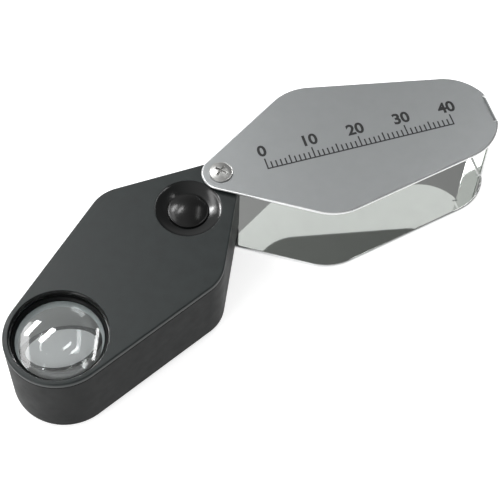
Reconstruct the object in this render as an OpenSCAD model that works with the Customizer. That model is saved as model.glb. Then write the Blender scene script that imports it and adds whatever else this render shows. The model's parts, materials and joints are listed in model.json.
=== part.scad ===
// Folding pocket loupe with a lamp: a bent sheet cover and a body that swings out of it.
// Millimetres. The cover's underside lies on z = 0 with its middle at the origin,
// and the cover's long axis is X.

/* [Cover] */
// Thickness of the cover's sheet
plate_t = 0.8; // [0.6:0.1:1.2]
// Radius of the cover's nose, at the pivot
cover_nose_r = 3.9; // [2.9:0.1:4.2]
// From the pivot to the cover's widest place
cover_wide_x = 21.4; // [19:0.1:24]
// How far the cover stands past the body at each side
cover_side = 0.7; // [0:0.1:1]
// Radius of the cover's two wide corners
cover_corner_r = 11.0; // [8:0.1:12]
// Radius of the cover's round end
cover_end_r = 10.5; // [9:0.1:11.6]
// How far that round end would reach past the strip
end_past = 0.4; // [0:0.1:0.8]
// Width of the strip that joins the two plates at the end
bridge_w = 6.6; // [5:0.1:9]
// Room between the swinging body and that strip
bridge_gap = 0.6; // [0.5:0.1:2]
// Inside radius of the strip's two bends
bend_r = 0.5; // [0.3:0.1:0.8]
// Width of the relief cut beside each bend
relief_w = 0.35; // [0.2:0.05:0.6]

/* [Pivot] */
// How far the body is swung out of the cover, as drawn
swing = -146.5; // [-180:0.5:-90]
// Diameter of the barrel that the body turns on
barrel_d = 3.6; // [3.2:0.1:4]
// Diameter of the barrel's sunk head in the lower plate
barrel_head_d = 4.6; // [4.3:0.1:5.2]
// Diameter of the pivot screw's thread
screw_d = 2.0; // [1.6:0.1:2.2]
// Length of the pivot screw below its head
screw_len = 6.8; // [4:0.1:9]
// Diameter of the pivot screw's head
screw_head_d = 4.8; // [4.2:0.1:5.4]
// Height of the pivot screw's head
screw_head_h = 0.75; // [0.6:0.05:1]
// Thickness of each friction washer
washer_t = 0.45; // [0.3:0.05:0.7]
// Outer diameter of each friction washer
washer_d = 5.4; // [4.8:0.1:5.6]
// Radial clearance of a running fit
run_gap = 0.05; // [0.02:0.01:0.1]
// Radial clearance between pieces that are pressed or screwed together
seat_gap = 0.02; // [0.01:0.01:0.04]

/* [Body] */
// Height of the body, lid included
body_h = 18.2; // [17.6:0.1:20]
// Radius of the body's nose, at the pivot
body_nose_r = 3.9; // [3.3:0.1:4.2]
// From the pivot to the body's widest place
body_wide_x = 19.8; // [18.4:0.1:20.6]
// Half of the body's greatest width
body_half_w = 15.3; // [14.6:0.1:17]
// Radius of the body's two wide corners
body_corner_r = 7.9; // [6:0.1:9]
// Rounding of the body's lower edge
edge_r = 1.2; // [0.4:0.1:1.3]
// Thickness of the body's side wall
wall = 1.4; // [1:0.1:1.6]
// Thickness of the body's floor
floor_t = 1.2; // [1.1:0.1:1.6]
// Thickness of the lid
lid_t = 1.2; // [1:0.1:1.5]
// Length of the solid nose in front of the hollow
nose_len = 4.8; // [4:0.1:5]

/* [Lens] */
// From the pivot to the lens axis
lens_x = 46.9; // [46.5:0.1:50]
// Diameter of the lens
lens_d = 18.2; // [17.4:0.1:18.6]
// Diameter of the lens that the ring leaves free
view_d = 16.8; // [14:0.1:17]
// Thickness of the lens at its edge
lens_edge = 1.6; // [1.2:0.1:2.2]
// Radius of both curved faces of the lens
lens_curve_r = 26.0; // [20:0.5:40]
// Width of the body's rim round the lens well
rim_w = 1.35; // [0.6:0.05:1.6]
// How deep the lens ring lies below the top face
ring_sink = 1.5; // [1:0.1:2]
// Thickness of the lens ring
ring_t = 1.0; // [0.8:0.1:1.4]
// Wall of the light sleeve under the lens
sleeve_wall = 0.9; // [0.6:0.1:1.2]
// Height of the lip that holds the light sleeve
sleeve_lip = 0.8; // [0.6:0.1:1.2]
// Wall of the body's tube round the light sleeve
tube_wall = 1.2; // [0.9:0.1:1.5]

/* [Button] */
// From the pivot to the button's axis
button_x = 10.0; // [9.8:0.1:11]
// Diameter of the push button
button_d = 8.2; // [7:0.1:8.4]
// How far the button's crown stands above the top face
button_proud = 0.15; // [-0.4:0.05:0.3]
// Height of the button's crown
crown_h = 0.95; // [0.6:0.05:1.4]
// Travel of the push button
button_travel = 0.8; // [0.4:0.1:1]
// Diameter of the dish round the button
dish_d = 13.0; // [11:0.1:13.2]
// Depth of that dish at its middle
dish_depth = 1.6; // [1.2:0.1:1.8]
// Depth of the button's guide below the lid
guide_h = 1.85; // [1.4:0.05:2.4]
// How far the button's flange stands out
flange_out = 0.75; // [0.5:0.05:0.8]
// Thickness of the button's flange
flange_t = 0.8; // [0.6:0.1:1.1]
// Diameter of the button's stem
stem_d = 3.2; // [2.6:0.1:3.6]
// Length of the button's return spring, as fitted
spring_len = 3.4; // [3:0.1:4]
// Diameter of the return spring's wire
spring_wire = 0.4; // [0.3:0.05:0.5]

/* [Switch and board] */
// Side of the switch case
switch_w = 6.0; // [5:0.1:6.4]
// Height of the switch case
switch_h = 3.2; // [2.8:0.1:3.6]
// Diameter of the switch plunger
plunger_d = 2.4; // [2:0.1:2.8]
// How far the plunger stands above the switch case
plunger_out = 1.0; // [0.9:0.1:1.3]
// Thickness of the circuit board
board_t = 1.0; // [0.6:0.1:1.2]
// Length of the circuit board
board_len = 12.4; // [12:0.1:12.6]
// Width of the circuit board
board_w = 12.0; // [11.4:0.1:12.2]
// Length of the resistor
resistor_len = 3.2; // [2:0.1:3.4]
// Width of the resistor
resistor_w = 1.6; // [0.8:0.1:1.8]
// Height of the resistor
resistor_h = 0.6; // [0.3:0.1:0.8]

/* [Light] */
// Diameter of the lamp's clear body
led_d = 3.0; // [2.6:0.1:3.2]
// Length of the lamp with its dome
led_len = 5.3; // [4.6:0.1:5.6]
// How steeply the lamp looks down into the well
led_tilt = 30; // [15:1:40]
// Height of the lamp's dome above the body's underside
led_h = 7.75; // [6:0.05:9]
// Diameter of each lamp wire
wire_d = 0.7; // [0.4:0.1:0.9]
// Distance between the two lamp wires
wire_pitch = 2.54; // [2:0.02:3]

/* [Batteries] */
// Diameter of the button cells, which lie three in a stack
cell_d = 11.6; // [11:0.1:11.6]
// Height of one button cell
cell_h = 3.05; // [2.5:0.05:3.1]
// Radial room round the cells
cell_room = 0.2; // [0.1:0.05:0.3]
// From the pivot to the axis of the cells
cell_x = 26.0; // [25.8:0.1:26.4]
// Wall and roof of the battery well
pocket_wall = 1.0; // [0.8:0.1:1.2]
// Thickness of the contact strips
strip_t = 0.25; // [0.2:0.05:0.4]
// Width of the contact strips
strip_w = 1.8; // [1.2:0.1:2]
// Height of the coned contact spring, as fitted
cone_h = 1.5; // [1.2:0.1:2]
// Thickness of the battery door
door_t = 0.7; // [0.6:0.05:0.8]
// How far the door reaches past the battery well's bore
door_ledge = 1.5; // [1:0.1:1.8]
// From the pivot to the door screw
door_screw_x = 16.4; // [16:0.1:16.6]

/* [Small screws] */
// Diameter of the small screws' thread
small_d = 1.5; // [1.2:0.1:1.6]
// Diameter of the small screws' heads
small_head_d = 2.8; // [2.4:0.1:3]
// Height of the small screws' heads
small_head_h = 1.0; // [0.7:0.1:1.2]
// Length of the case screws
case_screw_len = 9.5; // [8:0.1:10]
// Length of the board screws
board_screw_len = 4.0; // [3:0.1:4.4]
// Length of the door screw with its sunk head
door_screw_len = 4.4; // [3.6:0.1:4.6]
// Diameter of the posts that the case screws go through
post_d = 4.8; // [4.2:0.1:5]

/* [Hidden] */
$fn = 96;
// Greatest angle between two points of an outline's arc
arc_step = 7.5;
// How far a cut runs past the face that it opens in
past = 1;
// Depth of a screw hole past the screw's tip
tip_room = 0.5;

// Heights, from the underside of the cover up
body_z0 = plate_t + washer_t;
body_z1 = body_z0 + body_h;
cover_h = body_z1 + washer_t + plate_t;
floor_z = body_z0 + floor_t;
seam_z = body_z1 - lid_t;

// Lens end of the body
well_r = lens_d / 2 + run_gap;
body_end_r = well_r + rim_w;
tube_r = well_r + tube_wall;
ring_z1 = body_z1 - ring_sink;
lens_z1 = ring_z1 - ring_t;
lens_z0 = lens_z1 - lens_edge;
lens_sag = lens_curve_r - sqrt(pow(lens_curve_r, 2) - pow(lens_d / 2, 2));
sleeve_z0 = body_z0 + sleeve_lip;
sleeve_r = well_r - seat_gap;
sleeve_bore_r = sleeve_r - sleeve_wall;

// Cover, whose end follows the body's end
cover_half_w = body_half_w + cover_side;
cover_tip = lens_x + body_end_r + bridge_gap + plate_t;
cover_end_x = cover_tip + end_past - cover_end_r;
pivot_x = (cover_nose_r - cover_tip) / 2;
bend_out = bend_r + plate_t;

// Pivot
screw_room = 0.1;
barrel_slot_w = 0.6;
head_cross = [2.4, 0.5];
barrel_r = barrel_d / 2;
pivot_bore_r = barrel_r + run_gap;

// Button, hung from the top face
guide_z = seam_z - guide_h;
flange_z = guide_z - flange_t;
switch_z1 = flange_z - spring_len;
board_z1 = switch_z1 - switch_h;
board_z0 = board_z1 - board_t;
board_gap = 1.2;
board_x0 = nose_len + board_gap;
board_x1 = board_x0 + board_len;
button_r = button_d / 2;
guide_wall = 2.9;
crown_z = body_z1 + button_proud;
crown_r = (pow(button_r, 2) + pow(crown_h, 2)) / (2 * crown_h);
dish_r = (pow(dish_d / 2, 2) + pow(dish_depth, 2)) / (2 * dish_depth);
switch_floor = 0.8;
plunger_room = 0.1;
plunger_bore_z = board_z1 + switch_floor;
plunger_foot_z = plunger_bore_z + button_travel + plunger_room;
spring_room = 0.6;
spring_r = stem_d / 2 + spring_wire / 2 + spring_room;

// Batteries, stood on the floor
pocket_r = cell_d / 2 + cell_room;
pocket_out_r = pocket_r + pocket_wall;
cell_z0 = floor_z + strip_t + cone_h;
cells_z1 = cell_z0 + 3 * cell_h;
pocket_roof_z = cells_z1 + strip_t;
pocket_z1 = pocket_roof_z + pocket_wall;
strip_y = 3.5;
strip_in = 0.9;
strip_x = board_x1 - strip_in;
strip_room = 0.2;
contact_disc_r = 4.0;
cone_wire = 0.5;
cone_side = 1.2;
cone_wide_r = pocket_r - cone_side;
cone_narrow_r = 2.4;
door_gap = 0.1;
cell_step_h = 0.4;
cell_step_in = 1.0;

// Screws and their posts
pilot_r = small_d / 2 + seat_gap;
small_room = 0.2;
small_hole_r = small_d / 2 + small_room;
cross_len = 1.6;
cross_w = 0.4;
cross_deep = 0.4;
board_post_in = [3.0, 1.6];
board_post_x = board_x1 - board_post_in.x;
board_post_y = board_w / 2 - board_post_in.y;
board_post_r = 1.5;
rest_post_in = 1.4;
rest_post_x = board_x0 + rest_post_in;
rest_post_y = 3.4;
rest_post_r = 1.1;
door_post_r = 2.2;
board_room = 1.35;
door_post_z1 = board_z0 - board_room;
case_seat_h = 3.6;
case_seat_z = floor_z + case_seat_h;
lid_post_h = 6.25;
case_split_z = seam_z - lid_post_h;
// From the body's widest place, and from the lens axis, to the case posts
front_post = [2.1, 4.0];
rear_post = [12.0, 2.0];
case_posts = [
    for (side = [-1, 1]) [body_wide_x + front_post.x, side * (body_half_w - front_post.y)],
    for (side = [-1, 1]) [lens_x - rear_post.x, side * (body_end_r - rear_post.y)]
];

// Lamp, whose axis meets the sleeve's bore at led_place
led_place = [lens_x - sleeve_bore_r, 0, body_z0 + led_h];
led_flange_out = 0.4;
led_flange_r = led_d / 2 + led_flange_out;
led_flange_t = 1.0;
led_out = 0.8;
led_back = led_len - led_out;
wire_z = pocket_z1 + wire_d;
wire_in = 0.45;
wire_drop_x = board_x1 - wire_in;

// Outlines as discs [x, y, radius], anticlockwise, that a tight belt goes round
cover_discs = [
    [0, 0, cover_nose_r],
    [cover_wide_x, cover_corner_r - cover_half_w, cover_corner_r],
    [cover_end_x, 0, cover_end_r],
    [cover_wide_x, cover_half_w - cover_corner_r, cover_corner_r]
];
body_discs = [
    [0, 0, body_nose_r],
    [body_wide_x, body_corner_r - body_half_w, body_corner_r],
    [lens_x, 0, body_end_r],
    [body_wide_x, body_half_w - body_corner_r, body_corner_r]
];
door_nose_wall = 1.2;
door_discs = [
    [cell_x, 0, pocket_r + door_ledge],
    [door_screw_x, 0, small_head_d / 2 + door_nose_wall]
];

// Outward direction of the belt's straight run from disc a to disc b
function belt_side(a, b) =
    let (
        gap = [b.x - a.x, b.y - a.y],
        along = gap / norm(gap),
        lean = (a.z - b.z) / norm(gap)
    )
    along * lean + [along.y, -along.x] * sqrt(1 - lean * lean);

// Points round disc d from the direction a anticlockwise to the direction b
function arc(d, a, b) =
    let (
        start = atan2(a.y, a.x),
        turn = (atan2(b.y, b.x) - start + 360) % 360,
        steps = ceil(turn / arc_step)
    )
    [for (k = [0:steps]) [d.x, d.y] + d.z * [cos(start + turn * k / steps),
        sin(start + turn * k / steps)]];

// Area inside a tight belt round the discs, drawn in by inset
module belt(discs, inset = 0) {
    small = [for (d = discs) [d.x, d.y, d.z - inset]];
    count = len(small);
    sides = [for (i = [0:count - 1]) belt_side(small[i], small[(i + 1) % count])];
    polygon([for (i = [0:count - 1]) each arc(small[i], sides[(i + count - 1) % count], sides[i])]);
}

// Block of the belt's outline from z0 to z1
module slab(discs, z0, z1, inset = 0) {
    translate([0, 0, z0]) linear_extrude(z1 - z0) belt(discs, inset);
}

// Round bar or hole from z0 to z1
module rod(x, y, z0, z1, r) {
    translate([x, y, z0]) cylinder(h = z1 - z0, r = r);
}

// Box from corner a to corner b
module block(a, b) {
    translate(a) cube(b - a);
}

// The cover's place: the pivot lies at one end of the part
module at_pivot() {
    translate([pivot_x, 0, 0]) children();
}

// The swung body's place
module in_body() {
    at_pivot() rotate(swing) children();
}

// One unbroken tube through rings of points, as many in each ring
module tube(rings) {
    sides = len(rings[0]);
    last = len(rings) - 1;
    skin = [
        for (i = [0:last - 1], k = [0:sides - 1])
            let (a = i * sides + k, b = i * sides + (k + 1) % sides)
            each [[a, b, b + sides], [a, b + sides, a + sides]]
    ];
    start_cap = [for (k = [sides - 1:-1:0]) k];
    end_cap = [for (k = [0:sides - 1]) last * sides + k];
    polyhedron([for (ring = rings) each ring], concat([start_cap, end_cap], skin), convexity = 10);
}

// Direction from point a to point b
function way(a, b) = (b - a) / norm(b - a);

// Wire of radius r through points in a plane of constant y, with mitred corners
module wire(points, r) {
    sides = 8;
    last = len(points) - 1;
    tube([
        for (i = [0:last])
            let (
                before = way(points[max(i - 1, 0)], points[max(i, 1)]),
                after = way(points[min(i, last - 1)], points[min(i + 1, last)]),
                mid = (before + after) / norm(before + after),
                rise = [-mid.z, 0, mid.x] / (mid * after)
            )
            [for (k = [0:sides - 1]) points[i]
                + r * cos(360 * k / sides) * rise + r * sin(360 * k / sides) * [0, 1, 0]]
    ]);
}

// Coil from radius r0 at z0 to r1 at z1
module coil(r0, r1, z0, z1, wire_r, turns) {
    sides = 6;
    steps = 20 * turns;
    tube([
        for (i = [0:steps])
            let (share = i / steps, turn = 360 * turns * share)
            [for (k = [0:sides - 1])
                let (
                    r = r0 + (r1 - r0) * share + wire_r * cos(360 * k / sides),
                    z = z0 + wire_r + (z1 - z0 - 2 * wire_r) * share
                        + wire_r * sin(360 * k / sides)
                )
                [r * cos(turn), r * sin(turn), z]]
    ]);
}

// Screw with a low round head that faces down at z, and its thread above
module small_screw(x, y, z, len, turned = false) {
    translate([x, y, z]) mirror([0, 0, turned ? 1 : 0]) {
        cylinder(h = len, r = small_d / 2);
        difference() {
            translate([0, 0, -small_head_h]) cylinder(h = small_head_h, r = small_head_d / 2);
            for (a = [0, 90]) rotate(a)
                block([-cross_len / 2, -cross_w / 2, -small_head_h - past],
                    [cross_len / 2, cross_w / 2, cross_deep - small_head_h]);
        }
    }
}

// Bent sheet: two like plates and the strip between them
module cover() {
    color("silver") at_pivot() difference() {
        union() {
            for (z = [0, cover_h - plate_t]) difference() {
                slab(cover_discs, z, z + plate_t);
                block([cover_tip - bend_out, -bridge_w / 2 - relief_w, z - past],
                    [cover_tip + past, bridge_w / 2 + relief_w, z + plate_t + past]);
            }
            bridge();
        }
        cylinder(h = plate_t, r1 = barrel_head_d / 2 + seat_gap, r2 = barrel_r + seat_gap);
        rod(0, 0, cover_h - plate_t - past, cover_h + past, screw_d / 2 + screw_room);
    }
}

// Quarter bend of the strip, from level at z outwards and up to upright
module bend(z) {
    translate([cover_tip - bend_out, 0, z]) rotate([90, 0, 0]) rotate_extrude(angle = 90)
        translate([bend_r, -bridge_w / 2]) square([plate_t, bridge_w]);
}

// Strip at the cover's end, with a bend at its top and bottom
module bridge() {
    block([cover_tip - plate_t, -bridge_w / 2, bend_out],
        [cover_tip, bridge_w / 2, cover_h - bend_out]);
    bend(cover_h - bend_out);
    mirror([0, 0, 1]) bend(-bend_out);
}

// Barrel with a sunk slotted head below and a threaded bore above
module pivot_barrel() {
    color("gainsboro") at_pivot() difference() {
        union() {
            cylinder(h = plate_t, r1 = barrel_head_d / 2, r2 = barrel_r);
            rod(0, 0, plate_t, cover_h - plate_t, barrel_r);
        }
        rod(0, 0, cover_h - screw_len - tip_room, cover_h, screw_d / 2 + seat_gap);
        block([-barrel_head_d, -barrel_slot_w / 2, -past], [barrel_head_d, barrel_slot_w / 2, plate_t / 2]);
    }
}

// Pan-head screw with a cross recess
module pivot_screw() {
    head_r = screw_head_d / 2;
    flatter = 1.25;
    dome_r = flatter * (pow(head_r, 2) + pow(screw_head_h, 2)) / (2 * screw_head_h);
    color("gainsboro") at_pivot() {
        rod(0, 0, cover_h - screw_len, cover_h, screw_d / 2);
        difference() {
            intersection() {
                rod(0, 0, cover_h, cover_h + screw_head_h, head_r);
                translate([0, 0, cover_h + screw_head_h - dome_r]) sphere(dome_r);
            }
            for (a = [0, 90]) rotate(a)
                block([-head_cross.x / 2, -head_cross.y / 2, cover_h + screw_head_h / 3],
                    [head_cross.x / 2, head_cross.y / 2, cover_h + screw_head_h + past]);
        }
    }
}

// Flat ring that keeps the body off a plate
module washer(z) {
    color("whitesmoke") at_pivot() difference() {
        rod(0, 0, z, z + washer_t, washer_d / 2);
        rod(0, 0, z - past, z + washer_t + past, pivot_bore_r);
    }
}

// Outside of the body below the lid, with its lower edge rounded
module shell_block() {
    hull() {
        slab(body_discs, body_z0, body_z0 + 0.1, edge_r);
        for (a = [30, 60]) slab(body_discs, body_z0 + edge_r * (1 - cos(a)),
            body_z0 + edge_r * (1 - cos(a)) + 0.1, edge_r * (1 - sin(a)));
        slab(body_discs, body_z0 + edge_r, seam_z);
    }
}

// Hollow of the body, open at the top
module hollow() {
    difference() {
        slab(body_discs, floor_z, seam_z + past, wall);
        rod(lens_x, 0, body_z0, seam_z + 2 * past, tube_r);
        block([-body_nose_r, -body_half_w, body_z0], [nose_len, body_half_w, seam_z + 2 * past]);
    }
}

// Posts and the battery well that stand on the floor
module shell_posts() {
    rod(cell_x, 0, body_z0 + edge_r, pocket_z1, pocket_out_r);
    rod(door_screw_x, 0, body_z0 + edge_r, door_post_z1, door_post_r);
    for (side = [-1, 1]) {
        rod(board_post_x, side * board_post_y, body_z0 + edge_r, board_z0, board_post_r);
        rod(rest_post_x, side * rest_post_y, body_z0 + edge_r, board_z0, rest_post_r);
    }
    for (p = case_posts) rod(p.x, p.y, body_z0 + edge_r, case_split_z, post_d / 2);
}

// Bores and cuts of the shell
module shell_cuts() {
    rod(0, 0, 0, cover_h, pivot_bore_r);
    rod(lens_x, 0, sleeve_z0, cover_h, well_r);
    rod(lens_x, 0, 0, cover_h, sleeve_bore_r);
    led_hole();
    rod(cell_x, 0, 0, pocket_roof_z, pocket_r);
    slab(door_discs, 0, body_z0 + door_t);
    rod(door_screw_x, 0, 0, body_z0 + door_screw_len + tip_room, pilot_r);
    for (side = [-1, 1])
        rod(board_post_x, side * board_post_y, board_z1 - board_screw_len - tip_room, cover_h, pilot_r);
    for (p = case_posts) {
        rod(p.x, p.y, 0, case_seat_z, small_head_d / 2 + small_room);
        rod(p.x, p.y, 0, cover_h, small_hole_r);
    }
    block([cell_x - pocket_out_r - past, strip_y - strip_w / 2 - strip_room, cells_z1 - strip_room],
        [cell_x - cone_narrow_r, strip_y + strip_w / 2 + strip_room, pocket_roof_z]);
    block([cell_x - pocket_out_r - past, -strip_y - strip_w / 2 - strip_room, floor_z],
        [cell_x - cone_narrow_r, -strip_y + strip_w / 2 + strip_room,
            floor_z + strip_t + strip_room]);
}

// Slanted hole for the lamp, through the tube and the light sleeve
module led_hole() {
    translate(led_place) rotate([0, 90 + led_tilt, 0])
        rod(0, 0, led_flange_t - led_back, led_flange_t + past, led_d / 2 + run_gap);
}

// Open-topped case of the body
module body_shell() {
    color([0.16, 0.18, 0.18]) in_body() difference() {
        union() {
            difference() {
                shell_block();
                hollow();
            }
            shell_posts();
        }
        shell_cuts();
    }
}

// Lid of the body, with the lens well's mouth and the button's dish
module top_plate() {
    color([0.2, 0.22, 0.22]) in_body() difference() {
        union() {
            slab(body_discs, seam_z, body_z1);
            difference() {
                rod(button_x, 0, guide_z, seam_z + 0.1, button_r + guide_wall);
                block([-body_nose_r, -body_half_w, 0], [nose_len + 0.1, body_half_w, seam_z]);
            }
            for (p = case_posts) rod(p.x, p.y, case_split_z, seam_z + 0.1, post_d / 2);
        }
        rod(0, 0, 0, cover_h, pivot_bore_r);
        rod(lens_x, 0, 0, cover_h, well_r);
        rod(button_x, 0, 0, cover_h, button_r + run_gap);
        translate([button_x, 0, body_z1 - dish_depth + dish_r]) sphere(dish_r);
        for (p = case_posts)
            rod(p.x, p.y, 0, case_seat_z + case_screw_len + tip_room, pilot_r);
    }
}

// Ball whose skin is one curved face of the lens, grown by room
module lens_ball(upper, room = 0) {
    deep = lens_curve_r - lens_sag;
    translate([lens_x, 0, upper ? lens_z1 - deep : lens_z0 + deep])
        sphere(lens_curve_r + room, $fn = 360);
}

// Glass with two curved faces and a ground edge
module lens() {
    color([0.85, 0.92, 0.95, 0.5]) in_body() intersection() {
        rod(lens_x, 0, lens_z0 - lens_sag, lens_z1 + lens_sag, lens_d / 2);
        lens_ball(true);
        lens_ball(false);
    }
}

// Ring that holds the lens down
module lens_ring() {
    color([0.1, 0.1, 0.1]) in_body() difference() {
        rod(lens_x, 0, lens_z1, ring_z1, well_r - seat_gap);
        rod(lens_x, 0, 0, cover_h, view_d / 2);
        lens_ball(true, seat_gap);
    }
}

// Pale sleeve that lines the well and carries the lens
module light_sleeve() {
    color("white") in_body() difference() {
        rod(lens_x, 0, sleeve_z0, lens_z0, sleeve_r);
        rod(lens_x, 0, 0, cover_h, sleeve_bore_r);
        lens_ball(false, seat_gap);
        led_hole();
    }
}

// Round lamp with a domed end and a foot flange
module led() {
    dome_z = led_out - led_d / 2;
    color([0.95, 0.97, 1, 0.7]) in_body() translate(led_place) rotate([0, 90 + led_tilt, 0]) {
        rod(0, 0, -led_back, dome_z, led_d / 2);
        rod(0, 0, -led_back, led_flange_t - led_back, led_flange_r);
        translate([0, 0, dome_z]) sphere(led_d / 2);
    }
}

// Two wires from the lamp over the battery well to the board
module led_wires() {
    back = led_back * [cos(led_tilt), 0, -sin(led_tilt)];
    tail = [cos(led_tilt), 0, -sin(led_tilt)];
    start = led_place - back;
    bend = start - tail;
    color("firebrick") in_body() for (side = [-1, 1]) translate([0, side * wire_pitch / 2, 0])
        wire([start, bend, [bend.x, 0, wire_z], [wire_drop_x, 0, wire_z],
            [wire_drop_x, 0, board_z1]], wire_d / 2);
}

// Board that carries the switch
module circuit_board() {
    color("darkgreen") in_body() difference() {
        block([board_x0, -board_w / 2, board_z0], [board_x1, board_w / 2, board_z1]);
        for (side = [-1, 1])
            rod(board_post_x, side * board_post_y, 0, cover_h, small_hole_r);
    }
}

module board_screws() {
    color("silver") in_body() for (side = [-1, 1])
        small_screw(board_post_x, side * board_post_y, board_z1, board_screw_len, turned = true);
}

module resistor() {
    color("dimgray") in_body() block([board_post_x - resistor_w, -resistor_len / 2, board_z1],
        [board_post_x, resistor_len / 2, board_z1 + resistor_h]);
}

// Square case of the push switch
module switch_case() {
    color([0.25, 0.25, 0.25]) in_body() difference() {
        block([button_x - switch_w / 2, -switch_w / 2, board_z1],
            [button_x + switch_w / 2, switch_w / 2, switch_z1]);
        rod(button_x, 0, plunger_bore_z, cover_h, plunger_d / 2 + run_gap);
    }
}

module switch_plunger() {
    color("ivory") in_body()
        rod(button_x, 0, plunger_foot_z, switch_z1 + plunger_out, plunger_d / 2);
}

// Button with a domed crown, a flange that stops it and a stem
module button_cap() {
    color([0.06, 0.06, 0.06]) in_body() {
        intersection() {
            rod(button_x, 0, flange_z, crown_z, button_r);
            translate([button_x, 0, crown_z - crown_r]) sphere(crown_r);
        }
        rod(button_x, 0, flange_z, guide_z, button_r + flange_out);
        rod(button_x, 0, switch_z1 + plunger_out, guide_z, stem_d / 2);
    }
}

module button_spring() {
    color("silver") in_body() translate([button_x, 0, 0])
        coil(spring_r, spring_r, switch_z1, flange_z, spring_wire / 2, 4);
}

// Button cell: a can, and a smaller cap on its underside
module battery_cell(i) {
    z = cell_z0 + i * cell_h;
    color("lightsteelblue") in_body() {
        rod(cell_x, 0, z + cell_step_h, z + cell_h, cell_d / 2);
        rod(cell_x, 0, z, z + cell_step_h, cell_d / 2 - cell_step_in);
    }
}

// Plate above the cells, with a strip down to the board
module positive_contact() {
    color("goldenrod") in_body() {
        rod(cell_x, 0, cells_z1, pocket_roof_z, contact_disc_r);
        block([strip_x, strip_y - strip_w / 2, cells_z1],
            [cell_x - cone_narrow_r, strip_y + strip_w / 2, pocket_roof_z]);
        block([strip_x, strip_y - strip_w / 2, board_z1],
            [strip_x + strip_t, strip_y + strip_w / 2, pocket_roof_z]);
    }
}

// Strip from the coned spring's foot up to the board
module negative_contact() {
    color("goldenrod") in_body() {
        block([strip_x, -strip_y - strip_w / 2, floor_z],
            [cell_x - cone_narrow_r, -strip_y + strip_w / 2, floor_z + strip_t]);
        block([strip_x, -strip_y - strip_w / 2, floor_z],
            [strip_x + strip_t, -strip_y + strip_w / 2, board_z0]);
    }
}

module contact_spring() {
    color("goldenrod") in_body() translate([cell_x, 0, 0])
        coil(cone_wide_r, cone_narrow_r, floor_z + strip_t, cell_z0, cone_wire / 2, 2);
}

// Flush door with a plug that fits the battery well
module battery_door() {
    color([0.16, 0.18, 0.18]) in_body() difference() {
        union() {
            slab(door_discs, body_z0, body_z0 + door_t, door_gap);
            rod(cell_x, 0, body_z0, body_z0 + floor_t, pocket_r - door_gap);
        }
        sunk_head(seat_gap);
        rod(door_screw_x, 0, 0, cover_h, small_d / 2 + seat_gap);
    }
}

// Coned head of the door screw, grown by room
module sunk_head(room = 0) {
    translate([door_screw_x, 0, body_z0])
        cylinder(h = door_t, r1 = small_head_d / 2 + room, r2 = small_d / 2 + room);
}

module door_screw() {
    color("silver") in_body() difference() {
        union() {
            sunk_head();
            rod(door_screw_x, 0, body_z0 + door_t / 2, body_z0 + door_screw_len, small_d / 2);
        }
        for (a = [0, 90]) translate([door_screw_x, 0, body_z0]) rotate(a)
            block([-cross_len / 2, -cross_w / 2, -past], [cross_len / 2, cross_w / 2, cross_deep]);
    }
}

module case_screws() {
    color("silver") in_body() for (p = case_posts)
        small_screw(p.x, p.y, case_seat_z, case_screw_len);
}

cover();
pivot_barrel();
pivot_screw();
washer(plate_t);  // lower_washer
washer(body_z1);  // upper_washer
body_shell();
top_plate();
lens();
lens_ring();
light_sleeve();
led();
led_wires();
circuit_board();
board_screws();
resistor();
switch_case();
switch_plunger();
button_cap();
button_spring();
battery_cell(0);  // battery_cell_1
battery_cell(1);  // battery_cell_2
battery_cell(2);  // battery_cell_3
positive_contact();
negative_contact();
contact_spring();
battery_door();
door_screw();
case_screws();
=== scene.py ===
"""Looks of a folding pocket loupe with a lamp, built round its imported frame. Lengths are in metres."""

import json
import logging
import math
from collections.abc import Iterable, Sequence
from dataclasses import dataclass
from enum import Enum

import bmesh
import bpy
from mathutils import Matrix, Vector


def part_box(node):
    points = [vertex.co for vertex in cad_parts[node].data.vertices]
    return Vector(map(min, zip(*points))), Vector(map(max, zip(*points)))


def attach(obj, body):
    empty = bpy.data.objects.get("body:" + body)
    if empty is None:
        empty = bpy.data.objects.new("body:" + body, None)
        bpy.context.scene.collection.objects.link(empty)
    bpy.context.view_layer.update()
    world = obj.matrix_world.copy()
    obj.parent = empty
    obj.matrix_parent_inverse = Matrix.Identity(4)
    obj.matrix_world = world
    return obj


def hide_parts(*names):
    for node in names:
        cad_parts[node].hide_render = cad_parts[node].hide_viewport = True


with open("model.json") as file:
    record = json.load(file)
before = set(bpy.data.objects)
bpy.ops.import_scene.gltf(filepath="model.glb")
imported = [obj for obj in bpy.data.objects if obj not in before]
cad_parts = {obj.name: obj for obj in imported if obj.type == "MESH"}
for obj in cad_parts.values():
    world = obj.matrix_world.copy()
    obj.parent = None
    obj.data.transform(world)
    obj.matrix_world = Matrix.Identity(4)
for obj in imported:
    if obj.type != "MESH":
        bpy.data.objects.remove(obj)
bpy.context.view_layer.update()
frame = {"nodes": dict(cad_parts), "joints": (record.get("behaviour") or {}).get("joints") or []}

MM = 0.001

# A point nearer to an axis than this lies on it, and an edge that turns more than this is sharp
ON_AXIS = 1e-9
SHARP = math.radians(32.0)

# Places along the body from the pivot, and the bore below the lens, that several classes share
BUTTON_X = 10.0 * MM
CELL_X = 26.0 * MM
LENS_X = 46.9 * MM
BORE_R = 8.23 * MM

# Most of a noise lies between these two values
NOISE_LOW = 0.3
NOISE_HIGH = 0.7

log = logging.getLogger("loupe")

Colour = tuple[float, float, float]
Corner = tuple[float, float, float]
Stretch = tuple[float, float, float]
Point = tuple[float, float]
Ring = list[Vector]
Socket = bpy.types.NodeSocket
Solid = bmesh.types.BMesh


class Body(Enum):
    """Bodies that the pieces ride on."""

    COVER = "cover_frame"
    LOUPE = "loupe_body"
    BUTTON = "push_button"


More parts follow.
